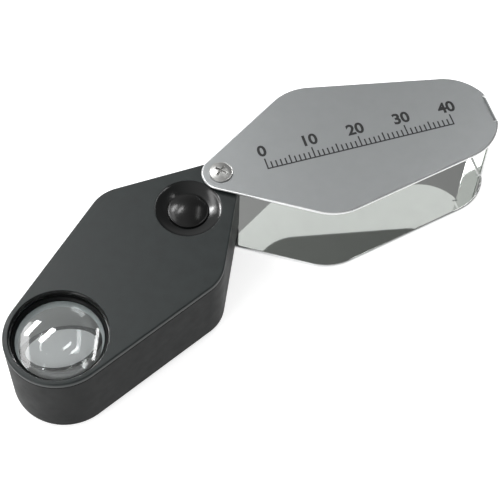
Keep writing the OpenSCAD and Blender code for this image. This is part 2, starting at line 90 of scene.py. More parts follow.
class Slot(Enum):
    """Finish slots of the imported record."""

    COVER = "cover_steel"
    BRIGHT = "bright_steel"
    NYLON = "washer_nylon"
    BODY = "body_black"
    LID = "lid_black"
    LENS = "lens_glass"
    RING = "ring_black"
    SLEEVE = "sleeve_white"
    RESIN = "led_resin"
    WIRE = "wire_red"
    BOARD = "board_green"
    RESISTOR = "resistor_ceramic"
    SWITCH = "switch_plastic"
    BUTTON = "button_black"
    CELL = "cell_steel"
    BRASS = "contact_brass"


class Cut(Enum):
    """How one solid changes another."""

    ADD = "UNION"
    TAKE = "DIFFERENCE"


class Web:
    """Node tree of a material or of the world."""

    def __init__(self, owner: bpy.types.Material | bpy.types.World) -> None:
        """Starts with an empty tree.

        Args:
            owner: Material or world that the tree belongs to.
        """
        owner.use_nodes = True
        self.tree = owner.node_tree
        self.tree.nodes.clear()

    def add(self, kind: str, **values: object) -> bpy.types.Node:
        """Adds a node.

        Args:
            kind: Blender's name of the node type.
            **values: Input sockets to set, with underscores for blanks.

        Returns:
            The new node.
        """
        made = self.tree.nodes.new(kind)
        for name, value in values.items():
            made.inputs[name.replace("_", " ")].default_value = value
        return made

    def join(self, source: Socket, target: Socket) -> None:
        """Links an output socket to an input socket."""
        self.tree.links.new(source, target)

    def blend(self, share: Socket, *ends: Socket | float) -> Socket:
        """Goes from one number to another.

        Args:
            share: Socket from 0 at the first number to 1 at the second.
            *ends: The two numbers, each a socket or a plain number.

        Returns:
            Socket with the number in between.
        """
        made = self.add("ShaderNodeMapRange")
        self.join(share, made.inputs["Value"])
        for name, end in zip(("To Min", "To Max"), ends):
            if isinstance(end, float):
                made.inputs[name].default_value = end
            else:
                self.join(end, made.inputs[name])
        return made.outputs["Result"]

    def ramp(self, source: Socket, start: float, end: float) -> Socket:
        """Rises smoothly from 0 to 1.

        Args:
            source: Socket to follow.
            start: Its value where the rise starts.
            end: Its value where the rise ends.

        Returns:
            Socket from 0 to 1.
        """
        made = self.add("ShaderNodeMapRange", From_Min=start, From_Max=end)
        made.interpolation_type = "SMOOTHSTEP"
        self.join(source, made.inputs["Value"])
        return made.outputs["Result"]

    def larger(self, a: Socket, b: Socket) -> Socket:
        """Takes the larger of two numbers.

        Args:
            a: One socket.
            b: The other socket.

        Returns:
            Socket with the larger number.
        """
        made = self.add("ShaderNodeMath")
        made.operation = "MAXIMUM"
        self.join(a, made.inputs[0])
        self.join(b, made.inputs[1])
        return made.outputs[0]


class Tree(Web):
    """Node tree of one material, with a surface shader wired to its output."""

    def __init__(self, name: str) -> None:
        """Starts a material.

        Args:
            name: Name of the material.
        """
        self.material = bpy.data.materials.new(name)
        super().__init__(self.material)
        self.shader = self.add("ShaderNodeBsdfPrincipled")
        output = self.add("ShaderNodeOutputMaterial")
        self.join(self.shader.outputs["BSDF"], output.inputs["Surface"])

    def noise(self, size: float, stretch: Stretch = (1.0, 1.0, 1.0), detail: float = 3.0) -> Socket:
        """Adds noise in the object's own space.

        Args:
            size: Size of one grain.
            stretch: How many times longer the grain is along each axis.
            detail: Octaves of finer noise.

        Returns:
            Socket that gives the noise from 0 to 1.
        """
        place = self.add("ShaderNodeTexCoord")
        scale = self.add("ShaderNodeMapping", Scale=tuple(1.0 / s for s in stretch))
        self.join(place.outputs["Object"], scale.inputs["Vector"])
        grain = self.add("ShaderNodeTexNoise", Scale=1.0 / size, Detail=detail, Roughness=0.6)
        self.join(scale.outputs["Vector"], grain.inputs["Vector"])
        return grain.outputs["Fac"]

    def spread(self, source: Socket, low: float, high: float) -> Socket:
        """Maps noise onto a range of values.

        Args:
            source: Socket with values round 0.5.
            low: Value where the noise is lowest.
            high: Value where the noise is highest.

        Returns:
            Socket with the mapped value.
        """
        ends = {"From_Min": NOISE_LOW, "From_Max": NOISE_HIGH, "To_Min": low, "To_Max": high}
        made = self.add("ShaderNodeMapRange", **ends)
        self.join(source, made.inputs["Value"])
        return made.outputs["Result"]

    def tint(self, source: Socket, dark: Colour, light: Colour) -> Socket:
        """Maps noise onto a range of colours.

        Args:
            source: Socket with values round 0.5.
            dark: Colour where the noise is lowest.
            light: Colour where the noise is highest.

        Returns:
            Socket with the colour.
        """
        ramp = self.add("ShaderNodeValToRGB")
        ramp.color_ramp.elements[0].position = NOISE_LOW
        ramp.color_ramp.elements[0].color = (*dark, 1.0)
        ramp.color_ramp.elements[1].position = NOISE_HIGH
        ramp.color_ramp.elements[1].color = (*light, 1.0)
        self.join(source, ramp.inputs["Fac"])
        return ramp.outputs["Color"]

    def bump(self, source: Socket, depth: float, share: float = 1.0) -> None:
        """Raises the surface by noise, on top of any bump that it has.

        Args:
            source: Socket with the height from 0 to 1.
            depth: Height of the bumps.
            share: Strength of the effect from 0 to 1.
        """
        made = self.add("ShaderNodeBump", Distance=depth, Strength=share)
        self.join(source, made.inputs["Height"])
        before = self.shader.inputs["Normal"]
        if before.is_linked:
            self.join(before.links[0].from_socket, made.inputs["Normal"])
        self.join(made.outputs["Normal"], before)

    def vary_colour(self, source: Socket, colour: Colour, share: float) -> None:
        """Lets the surface's colour drift lighter and darker with a noise, by a share of it."""
        tone = self.tint(source, shade(colour, 1.0 - share), shade(colour, 1.0 + share))
        self.join(tone, self.shader.inputs["Base Color"])

    def vary_roughness(self, source: Socket, roughness: float, share: float) -> None:
        """Lets the surface's roughness drift up and down with a noise, by a share of it."""
        rough = self.spread(source, roughness * (1.0 - share), roughness * (1.0 + share))
        self.join(rough, self.shader.inputs["Roughness"])


def shade(colour: Colour, times: float) -> Colour:
    """Makes a colour lighter or darker.

    Args:
        colour: Colour to change.
        times: Factor on each channel.

    Returns:
        The changed colour.
    """
    return (colour[0] * times, colour[1] * times, colour[2] * times)


@dataclass(frozen=True)
class Metal:
    """Bare metal with a fine grain, clouds of a slightly other tone and faint handling marks."""

    name: str
    colour: Colour
    roughness: float
    grain: float = 0.12 * MM
    depth: float = 0.0015 * MM
    stretch: Stretch = (1.0, 1.0, 1.0)
    drift: float = 0.05
    unevenness: float = 0.15
    cloud: float = 3.0 * MM

    def material(self) -> bpy.types.Material:
        """Builds the material.

        Returns:
            The finished material.
        """
        tree = Tree(self.name)
        tree.shader.inputs["Metallic"].default_value = 1.0
        grain = tree.noise(self.grain, self.stretch)
        tree.vary_colour(tree.noise(self.cloud, detail=2.0), self.colour, self.drift)
        tree.vary_roughness(grain, self.roughness, self.unevenness)
        tree.bump(grain, self.depth)
        return tree.material


@dataclass(frozen=True)
class Moulded:
    """Moulded plastic with the fine texture of its mould and a little unevenness of tone."""

    name: str
    colour: Colour
    roughness: float
    gloss: float = 0.5
    grain: float = 0.15 * MM
    depth: float = 0.004 * MM
    drift: float = 0.12
    unevenness: float = 0.08
    cloud: float = 2.5 * MM

    def material(self) -> bpy.types.Material:
        """Builds the material.

        Returns:
            The finished material.
        """
        tree = Tree(self.name)
        tree.shader.inputs["Specular IOR Level"].default_value = self.gloss
        grain = tree.noise(self.grain)
        cloud = tree.noise(self.cloud, detail=2.0)
        tree.vary_colour(cloud, self.colour, self.drift)
        tree.vary_roughness(cloud, self.roughness, self.unevenness)
        tree.bump(grain, self.depth)
        return tree.material


@dataclass(frozen=True)
class Clear:
    """Clear glass or resin, with a trace of uneven polish."""

    name: str
    colour: Colour
    index: float
    roughness: float = 0.0
    coat: float = 0.0
    coat_roughness: float = 0.02
    grain: float = 1.5 * MM
    depth: float = 0.0004 * MM
    haze: float = 0.015

    def material(self) -> bpy.types.Material:
        """Builds the material.

        Returns:
            The finished material.
        """
        tree = Tree(self.name)
        tree.shader.inputs["Transmission Weight"].default_value = 1.0
        tree.shader.inputs["IOR"].default_value = self.index
        tree.shader.inputs["Roughness"].default_value = self.roughness
        tree.shader.inputs["Coat Weight"].default_value = self.coat
        tree.shader.inputs["Coat Roughness"].default_value = self.coat_roughness
        cloud = tree.noise(self.grain, detail=1.0)
        tone = tree.tint(cloud, shade(self.colour, 1.0 - self.haze), self.colour)
        tree.join(tone, tree.shader.inputs["Base Color"])
        if self.depth > 0.0:
            tree.bump(cloud, self.depth)
        return tree.material


class Finish(Enum):
    """Every finish of the loupe, under names that the frame's own materials don't have."""

    SATIN_STEEL = Metal("satin_steel", (0.4, 0.415, 0.42), 0.38, drift=0.02)
    MIRROR_STEEL = Metal("mirror_steel", (0.66, 0.675, 0.66), 0.03, depth=0.0, drift=0.01)
    SHEARED_EDGE = Metal("sheared_edge", (0.86, 0.87, 0.87), 0.3, stretch=(1.0, 1.0, 8.0))
    SCREW_STEEL = Metal("screw_steel", (0.45, 0.45, 0.44), 0.38, grain=0.3 * MM, depth=0.004 * MM, drift=0.1)
    SPRING_STEEL = Metal("spring_steel", (0.5, 0.5, 0.5), 0.2)
    CELL_NICKEL = Metal("cell_nickel", (0.62, 0.61, 0.58), 0.24, drift=0.06)
    BRASS = Metal("strip_brass", (0.66, 0.46, 0.17), 0.24, stretch=(6.0, 1.0, 1.0))
    CASE_BLACK = Moulded("case_black", (0.009, 0.01, 0.01), 0.5, gloss=0.12)
    LID_BLACK = Moulded("lid_satin", (0.015, 0.02, 0.02), 0.42, gloss=0.4)
    DISH_BLACK = Moulded("dish_black", (0.002, 0.0025, 0.0025), 0.15, gloss=0.5, depth=0.0008 * MM)
    BUTTON_BLACK = Moulded("button_gloss", (0.006, 0.006, 0.006), 0.21, gloss=0.3, depth=0.0006 * MM)
    RING_BLACK = Moulded("ring_matt", (0.003, 0.0035, 0.0035), 0.4, gloss=0.1)
    # The sleeve's wall below its lip is painted grey as painted shade inside the lens's well; the sleeve's
    # own colour is the pale one of its lip.
    SLEEVE_GREY = Moulded("sleeve_painted_shade", (0.36, 0.355, 0.345), 0.4, depth=0.001 * MM, drift=0.02)
    SLEEVE_LIP = Moulded("sleeve_lip", (0.86, 0.87, 0.87), 0.3, depth=0.001 * MM, drift=0.02)
    NYLON = Moulded("nylon", (0.72, 0.72, 0.7), 0.45, drift=0.04)
    WIRE_SHEATH = Moulded("wire_sheath", (0.35, 0.02, 0.02), 0.4)
    BOARD_MASK = Moulded("board_mask", (0.015, 0.13, 0.05), 0.3, depth=0.002 * MM)
    CERAMIC = Moulded("ceramic", (0.05, 0.05, 0.05), 0.5)
    SWITCH_BLACK = Moulded("switch_black", (0.03, 0.03, 0.03), 0.45)
    PRINT_INK = Moulded("print_ink", (0.012, 0.012, 0.013), 0.5, depth=0.001 * MM)
    LENS_GLASS = Clear("optical_glass", (0.84, 0.885, 0.885), 1.52, coat=1.0, coat_roughness=0.06, depth=0.0)
    LAMP_RESIN = Clear("lamp_resin", (0.97, 0.98, 0.99), 1.5, roughness=0.03)

    def material(self) -> bpy.types.Material:
        """Gives the material that every piece of this finish shares, and builds it the first time."""
        return bpy.data.materials.get(self.value.name) or self.value.material()


@dataclass(frozen=True)
class Disc:
    """Round corner of an outline, by its centre and radius."""

    x: float
    y: float
    r: float


@dataclass(frozen=True)
class Outline:
    """Closed outline that goes round discs as a tight belt does, anticlockwise."""

    discs: tuple[Disc, ...]
    step: float = math.radians(3.0)

    @staticmethod
    def side(a: Disc, b: Disc) -> Vector:
        """Finds which way the straight run from one disc to the next faces.

        Args:
            a: Disc where the run starts.
            b: Disc where it ends.

        Returns:
            The outward direction.
        """
        gap = Vector((b.x - a.x, b.y - a.y))
        along = gap.normalized()
        lean = (a.r - b.r) / gap.length
        return along * lean + Vector((along.y, -along.x)) * math.sqrt(1.0 - lean * lean)

    def points(self, inset: float = 0.0) -> list[Vector]:
        """Works out the outline's points.

        Args:
            inset: How far the outline is drawn in.

        Returns:
            Points anticlockwise, as many at any inset.
        """
        sides = [self.side(a, b) for a, b in zip(self.discs, self.discs[1:] + self.discs[:1])]
        found = []
        for i, disc in enumerate(self.discs):
            start = math.atan2(sides[i - 1].y, sides[i - 1].x)
            turn = (math.atan2(sides[i].y, sides[i].x) - start) % math.tau
            steps = math.ceil(turn / self.step)
            for k in range(steps + 1):
                angle = start + turn * k / steps
                r = disc.r - inset
                found.append(Vector((disc.x + r * math.cos(angle), disc.y + r * math.sin(angle))))
        return found

    def ring(self, z: float, inset: float = 0.0) -> Ring:
        """Gives the outline as a ring of points at a height, drawn in by the inset."""
        return [Vector((p.x, p.y, z)) for p in self.points(inset)]


def rounded(corners: Sequence[Corner], steps: int = 5) -> list[Point]:
    """Turns the corners of a profile into arcs.

    Args:
        corners: For each corner its place across, its height and the radius of its rounding.
        steps: Steps in each arc.

    Returns:
        Points of the profile as (across, height).
    """
    found: list[Point] = []
    for i, (x, z, radius) in enumerate(corners):
        here = Vector((x, z))
        if radius == 0.0 or i in (0, len(corners) - 1):
            found.append((x, z))
            continue
        to_last = (Vector(corners[i - 1][:2]) - here).normalized()
        to_next = (Vector(corners[i + 1][:2]) - here).normalized()
        half = to_last.angle(to_next) / 2.0
        centre = here + (to_last + to_next).normalized() * (radius / math.sin(half))
        start = here + to_last * (radius / math.tan(half)) - centre
        end = here + to_next * (radius / math.tan(half)) - centre
        turn = start.angle_signed(end)
        for k in range(steps + 1):
            angle = -turn * k / steps
            spoke = Vector((
                start.x * math.cos(angle) - start.y * math.sin(angle),
                start.x * math.sin(angle) + start.y * math.cos(angle),
            ))
            found.append(tuple(centre + spoke))
    return found


def cap_arc(radius: float, reach: float, top: float, steps: int = 12, up: bool = True) -> list[Point]:
    """Works out the profile of a spherical cap from its rim to its pole.

    Args:
        radius: Radius of the sphere.
        reach: Radius of the cap's rim.
        top: Height of the pole.
        steps: Steps in the profile.
        up: True where the cap bulges upwards.

    Returns:
        Points as (across, height), rim first.
    """
    edge = math.asin(reach / radius)
    way = 1.0 if up else -1.0
    return [
        (radius * math.sin(a), top - way * radius * (1.0 - math.cos(a)))
        for a in (edge * (steps - k) / steps for k in range(steps + 1))
    ]


def lathe_rings(profile: Iterable[Point], x: float, y: float, segments: int = 96) -> list[Ring]:
    """Turns a profile round an upright axis.

    Args:
        profile: Points as (across, height), anticlockwise seen with the axis on the left.
        x: Place of the axis.
        y: Place of the axis.
        segments: Points in each ring.

    Returns:
        Rings of points, each of one point where the profile meets the axis.
    """
    rings = []
    for r, z in profile:
        count = 1 if r < ON_AXIS else segments
        rings.append([
            Vector((x + r * math.cos(math.tau * k / count), y + r * math.sin(math.tau * k / count), z))
            for k in range(count)
        ])
    return rings


def skin(rings: Sequence[Ring], looped: bool = False) -> Solid:
    """Makes a closed skin through rings of points.

    Args:
        rings: Rings of equally many points, or of one point at a pole.
        looped: True where the last ring joins the first, as in a washer.

    Returns:
        The closed mesh.
    """
    bm = bmesh.new()
    made = [[bm.verts.new(p) for p in ring] for ring in rings]
    pairs = list(zip(made, made[1:] + made[:1])) if looped else list(zip(made, made[1:]))
    for low, high in pairs:
        count = max(len(low), len(high))
        for k in range(count):
            n = (k + 1) % count
            if len(low) == 1:
                bm.faces.new((low[0], high[n], high[k]))
            elif len(high) == 1:
                bm.faces.new((low[k], low[n], high[0]))
            else:
                bm.faces.new((low[k], low[n], high[n], high[k]))
    if not looped:
        if len(made[0]) > 1:
            bm.faces.new(made[0][::-1])
        if len(made[-1]) > 1:
            bm.faces.new(made[-1])
    bmesh.ops.recalc_face_normals(bm, faces=bm.faces)
    return bm


def turned(profile: Iterable[Point], x: float = 0.0, y: float = 0.0, looped: bool = False) -> Solid:
    """Makes a turned solid.

    Args:
        profile: Points as (across, height).
        x: Place of the axis.
        y: Place of the axis.
        looped: True for a ring whose profile doesn't meet the axis.

    Returns:
        The closed mesh.
    """
    return skin(lathe_rings(profile, x, y), looped)


def bar(x: float, y: float, z0: float, z1: float, r: float) -> Solid:
    """Makes a plain round tool or post.

    Args:
        x: Place of the axis.
        y: Place of the axis.
        z0: Lower end.
        z1: Upper end.
        r: Radius.

    Returns:
        The closed mesh.
    """
    return turned([(0.0, z0), (r, z0), (r, z1), (0.0, z1)], x, y)


def brick(low: Sequence[float], high: Sequence[float], taper: float = 0.0) -> Solid:
    """Makes a square tool between two corners.

    Args:
        low: Lowest corner.
        high: Highest corner.
        taper: How much narrower each side is at the bottom.

    Returns:
        The closed mesh.
    """
    def square(z: float, inset: float) -> Ring:
        """Gives the ring at one height."""
        x0, y0, x1, y1 = low[0] + inset, low[1] + inset, high[0] - inset, high[1] - inset
        return [Vector(p) for p in ((x0, y0, z), (x1, y0, z), (x1, y1, z), (x0, y1, z))]

    return skin([square(low[2], taper), square(high[2], 0.0)])


def cross_tools(
    arm: float, half: float, low: float, high: float, turn: float, taper: float = 0.0
) -> list[Solid]:
    """Makes the two tools of a cross recess round the upright axis.

    Args:
        arm: Length of one arm from the axis.
        half: Half an arm's width.
        low: Lower end of the tools.
        high: Upper end of the tools.
        turn: How far the first arm is turned, in degrees.
        taper: How much narrower each side is at the bottom.

    Returns:
        The tools, at right angles to each other.
    """
    return [
        put(brick((-arm, -half, low), (arm, half, high), taper), Matrix.Rotation(math.radians(angle), 4, "Z"))
        for angle in (turn, turn + 90.0)
    ]


def put(bm: Solid, place: Matrix) -> Solid:
    """Moves a mesh.

    Args:
        bm: Mesh to move.
        place: Where it goes.

    Returns:
        The same mesh.
    """
    bm.transform(place)
    return bm


class Piece:
    """One solid piece of the loupe, built up and cut as mesh, then dressed."""

    def __init__(self, name: str, bm: Solid, place: Matrix, *finishes: Finish) -> None:
        """Starts a piece from a closed mesh.

        Args:
            name: Name of the object.
            bm: Its mesh, in its own space, which is used up.
            place: Where that space lies in the frame.
            *finishes: Its finishes, by face material number.
        """
        self.place = place
        self.thing = bpy.data.objects.new(name, self.mesh_of(name, bm))
        for finish in finishes:
            self.thing.data.materials.append(finish.material())
        bpy.context.scene.collection.objects.link(self.thing)

    @staticmethod
    def mesh_of(name: str, bm: Solid) -> bpy.types.Mesh:
        """Turns working mesh data into a mesh.

        Args:
            name: Name of the mesh.
            bm: Working mesh, which is freed.

        Returns:
            The mesh.
        """
        mesh = bpy.data.meshes.new(name)
        bm.to_mesh(mesh)
        bm.free()
        return mesh

    def into_tool(self) -> Solid:
        """Turns the piece back into a working mesh, which can join or cut another piece.

        Returns:
            The closed mesh.
        """
        bm = bmesh.new()
        bm.from_mesh(self.thing.data)
        bpy.data.objects.remove(self.thing)
        return bm

    def bake(self) -> None:
        """Applies the modifiers."""
        graph = bpy.context.evaluated_depsgraph_get()
        graph.update()
        mesh = bpy.data.meshes.new_from_object(self.thing.evaluated_get(graph))
        self.thing.modifiers.clear()
        self.thing.data = mesh

    def work(self, how: Cut, tools: Iterable[Solid]) -> "Piece":
        """Adds solids to the piece or takes them out of it.

        Args:
            how: Whether the tools are added or taken out.
            tools: Closed meshes in the piece's own space.

        Returns:
            The piece itself.
        """
        for bm in tools:
            tool = bpy.data.objects.new("tool", self.mesh_of("tool", bm))
            bpy.context.scene.collection.objects.link(tool)
            change = self.thing.modifiers.new("work", "BOOLEAN")
            change.operation = how.value
            change.solver = "MANIFOLD"
            change.object = tool
            self.bake()
            bpy.data.objects.remove(tool)
        return self

    def soften(self, width: float, angle: float | None = 40.0, segments: int = 2) -> "Piece":
        """Rounds the piece's sharp edges.

        Args:
            width: Width of the rounding.
            angle: Least angle in degrees of an edge that is rounded, or None to go by the edges' weights.
            segments: Steps across the rounding.

        Returns:
            The piece itself.
        """
        change = self.thing.modifiers.new("soften", "BEVEL")
        change.width = width
        change.segments = segments
        change.limit_method = "WEIGHT" if angle is None else "ANGLE"
        if angle is not None:
            change.angle_limit = math.radians(angle)
        change.use_clamp_overlap = False
        self.bake()
        return self

    def dress(self, body: Body, replaces: Sequence[str] = ()) -> None:
        """Gives the piece smooth shading and its place, and lets it ride.

        Args:
            body: Body that it moves with.
            replaces: Nodes that it stands for.
        """
        mesh = self.thing.data
        mesh.transform(self.place)
        mesh.shade_smooth()
        mesh.set_sharp_from_angle(angle=SHARP)
        weigh = self.thing.modifiers.new("weigh", "WEIGHTED_NORMAL")
        weigh.keep_sharp = True
        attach(self.thing, body.value)
        if replaces:
            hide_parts(*replaces)
        log.info("%s: %d faces, rides on %s", self.thing.name, len(mesh.polygons), body.value)


def level(node: str, top: bool) -> float:
    """Reads a height from the frame.

    Args:
        node: Node's name.
        top: True for its top, False for its underside.

    Returns:
        The height.
    """
    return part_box(node)[1 if top else 0].z


def joint(name: str) -> dict:
    """Finds a joint of the frame.

    Args:
        name: Joint's name.

    Returns:
        The joint's record.
    """
    return next(j for j in frame["joints"] if j["name"] == name)


def at_pivot() -> Matrix:
    """Gives the place of the pivot, where the cover's own space has its origin."""
    return Matrix.Translation(Vector(joint("swing")["pos_m"]))


def in_body() -> Matrix:
    """Gives the place of the swung body's own space, whose X runs from the pivot to the lens."""
    swing = -math.radians(joint("swing")["range_deg"][1])
    return at_pivot() @ Matrix.Rotation(swing, 4, "Z")


@dataclass
class Cover:
    """Bent sheet cover, with the screw and the barrel nut of its pivot."""

    nose_r: float = 3.9 * MM
    wide_x: float = 21.4 * MM
    half_w: float = 16.0 * MM
    corner_r: float = 11.0 * MM
    end_r: float = 10.5 * MM
    end_past: float = 0.4 * MM
    arc_step: float = math.radians(2.5)

    # Strip at the tip, its relief notches and the rounding of the rim
    bridge_w: float = 6.6 * MM
    bend_r: float = 0.5 * MM
    bend_steps: int = 8
    relief_w: float = 0.13 * MM
    edge: float = 0.38 * MM
    notch_edge: float = 0.03 * MM

    # Pan-head screw, its cross recess and its hole
    screw_r: float = 1.0 * MM
    screw_len: float = 6.8 * MM
    screw_point: float = 0.2 * MM
    screw_gap: float = 0.1 * MM
    head_edge: float = 0.1 * MM
    soft: float = 0.05 * MM
    arm: float = 1.25 * MM
    arm_half: float = 0.27 * MM
    arm_taper: float = 0.08 * MM
    arm_turn: float = 38.0

    # Screw head's two heights as shares of its height, then three lengths as shares of its radius
    head_side: float = 0.24
    shoulder_h: float = 0.42
    shoulder_r: float = 0.98
    dome_reach: float = 0.93
    dome_r: float = 2.2

    # Barrel nut, its slot and its seat in the lower plate
    barrel_r: float = 1.8 * MM
    barrel_head_r: float = 2.3 * MM
    barrel_edge: float = 0.06 * MM
    barrel_ease: float = 0.08 * MM
    slot_half: float = 0.3 * MM
    bore_spare: float = 0.5 * MM
    seat_gap: float = 0.02 * MM

    def __post_init__(self) -> None:
        """Works out the heights and the tip from the frame."""
        self.notch_y = self.bridge_w / 2 + self.relief_w
        self.height = level("cover", True)
        self.sheet = level("lower_washer", False)
        self.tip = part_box("cover")[1].x - joint("swing")["pos_m"][0]
        self.bend_x = self.tip - self.bend_r - self.sheet

    def outline(self) -> list[Vector]:
        """Works out one plate's outline, with the two relief notches beside the strip.

        Returns:
            Points anticlockwise, which start and end beside the strip.
        """
        side_y = self.half_w - self.corner_r
        end_x = self.tip + self.end_past - self.end_r
        belt = Outline((
            Disc(end_x, 0.0, self.end_r),
            Disc(self.wide_x, side_y, self.corner_r),
            Disc(0.0, 0.0, self.nose_r),
            Disc(self.wide_x, -side_y, self.corner_r),
        ), step=self.arc_step).points()
        notch_y = self.notch_y
        rim_x = end_x + math.sqrt(self.end_r ** 2 - notch_y ** 2)
        kept = [p for p in belt if p.x < self.bend_x or abs(p.y) > notch_y + 1.5 * self.edge]
        first = next(i for i, p in enumerate(kept) if p.y > notch_y and kept[i - 1].y < -notch_y)
        round_trip = kept[first:] + kept[:first]
        start = [(self.bend_x, self.bridge_w / 2), (self.bend_x, notch_y), (rim_x, notch_y)]
        end = [(rim_x, -notch_y), (self.bend_x, -notch_y), (self.bend_x, -self.bridge_w / 2)]
        return [Vector(p) for p in start] + round_trip + [Vector(p) for p in end]

    def strip(self, depth: float) -> list[Point]:
        """Works out the side view of the strip, from the lower plate to the upper one.

        Args:
            depth: How deep in the sheet the line runs, from its outside.

        Returns:
            Points as (x, z).
        """
        out = self.bend_r + self.sheet
        r = out - depth
        found = []
        for z, start in ((out, -90.0), (self.height - out, 0.0)):
            for k in range(self.bend_steps + 1):
                angle = math.radians(start + 90.0 * k / self.bend_steps)
                found.append((self.bend_x + r * math.cos(angle), z + r * math.sin(angle)))
        return found

    def bent_sheet(self) -> Solid:
        """Makes the sheet with both plates and the strip as one closed skin.

        Returns:
            The mesh, whose faces are numbered 0 outside, 1 inside and 2 on the sheared edge.
        """
        bm = bmesh.new()
        flat = self.outline()
        half = self.bridge_w / 2
        layers = []
        for depth in (0.0, self.sheet):
            low = [bm.verts.new((p.x, p.y, depth)) for p in flat]
            high = [bm.verts.new((p.x, p.y, self.height - depth)) for p in flat]
            sides = self.strip(depth)[1:-1]
            left = [low[0]] + [bm.verts.new((x, half, z)) for x, z in sides] + [high[0]]
            right = [low[-1]] + [bm.verts.new((x, -half, z)) for x, z in sides] + [high[-1]]
            layers.append((low, high, left, right))
        for number, (low, high, left, right) in enumerate(layers):
            made = [bm.faces.new(low), bm.faces.new(high)]
            for k in range(len(left) - 1):
                made.append(bm.faces.new((left[k], left[k + 1], right[k + 1], right[k])))
            for face in made:
                face.material_index = number
        for a, b in zip(layers[0], layers[1]):
            for k in range(len(a) - 1):
                bm.faces.new((a[k], a[k + 1], b[k + 1], b[k])).material_index = 2
        bmesh.ops.recalc_face_normals(bm, faces=bm.faces)
        self.weigh_edges(bm)
        return bm

    def weigh_edges(self, bm: Solid) -> None:
        """Says how much each edge of the sheet is rounded: the rim fully, the relief notches a little.

        Args:
            bm: The sheet's mesh, before it is cut.
        """
        weight = bm.edges.layers.float.new("bevel_weight_edge")
        spare = self.seat_gap
        for edge in bm.edges:
            mid = (edge.verts[0].co + edge.verts[1].co) / 2
            if len({face.material_index for face in edge.link_faces}) == 2:
                beside_strip = self.bridge_w / 2 + spare <= abs(mid.y) < self.notch_y + spare
                at_notch = beside_strip and mid.x > self.bend_x - spare
                edge[weight] = self.notch_edge / self.edge if at_notch else 1.0

    def countersink(self) -> Solid:
        """Makes the tool for the coned hole of the barrel's head.

        Returns:
            The tool.
        """
        gap = self.seat_gap
        return turned([
            (0.0, -self.sheet), (self.barrel_head_r + gap, -self.sheet), (self.barrel_head_r + gap, 0.0),
            (self.barrel_r + gap, self.sheet), (self.barrel_r + gap, 2 * self.sheet), (0.0, 2 * self.sheet),
        ])

    def build_sheet(self) -> None:
        """Builds the sheet cover."""
        finishes = Finish.SATIN_STEEL, Finish.MIRROR_STEEL, Finish.SHEARED_EDGE
        piece = Piece("cover_sheet", self.bent_sheet(), at_pivot(), *finishes)
        piece.soften(self.edge, angle=None, segments=3)
        hole_r = self.screw_r + self.screw_gap
        hole = bar(0.0, 0.0, self.height - 2 * self.sheet, self.height + self.sheet, hole_r)
        piece.work(Cut.TAKE, [self.countersink(), hole])
        piece.dress(Body.COVER, replaces=["cover"])

    def build_screw(self) -> None:
        """Builds the pan-head screw, with its cross recess."""
        low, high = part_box("pivot_screw")
        head_r = (high.x - low.x) / 2
        head_h = high.z - self.height
        point = self.screw_point
        side_z, shoulder_z = self.height + self.head_side * head_h, self.height + self.shoulder_h * head_h
        dome = cap_arc(head_r * self.dome_r, head_r * self.dome_reach, high.z)
        piece = Piece("pan_screw", turned([
            (0.0, low.z), (self.screw_r - point, low.z), (self.screw_r, low.z + 1.25 * point),
            (self.screw_r, self.height), (head_r - self.head_edge, self.height),
            (head_r, self.height + 0.6 * self.head_edge), (head_r, side_z),
            (head_r * self.shoulder_r, shoulder_z), *dome,
        ]), at_pivot(), Finish.SCREW_STEEL)
        recess = cross_tools(
            self.arm, self.arm_half, self.height + head_h / 3, high.z + MM, self.arm_turn, self.arm_taper,
        )
        piece.work(Cut.TAKE, recess).soften(self.soft, angle=45.0)
        piece.dress(Body.COVER, replaces=["pivot_screw"])

    def build_barrel(self) -> None:
        """Builds the barrel nut with its sunk slotted head."""
        top = level("pivot_barrel", True)
        bore_z = self.height - self.screw_len - self.bore_spare
        bore_r = self.screw_r + self.seat_gap
        piece = Piece("barrel_nut", turned(rounded([
            (0.0, 0.0, 0.0), (self.barrel_head_r, 0.0, self.barrel_edge), (self.barrel_r, self.sheet, 0.0),
            (self.barrel_r, top, self.barrel_ease), (bore_r, top, self.barrel_ease), (bore_r, bore_z, 0.0),
            (0.0, bore_z, 0.0),
        ])), at_pivot(), Finish.SCREW_STEEL)
        reach = 2 * self.barrel_head_r
        slot = brick((-reach, -self.slot_half, -MM), (reach, self.slot_half, self.sheet / 2))
        piece.work(Cut.TAKE, [slot])
        piece.dress(Body.COVER, replaces=["pivot_barrel"])

    def build(self) -> None:
        """Builds the cover and its pivot in order."""
        self.build_sheet()
        self.build_screw()
        self.build_barrel()


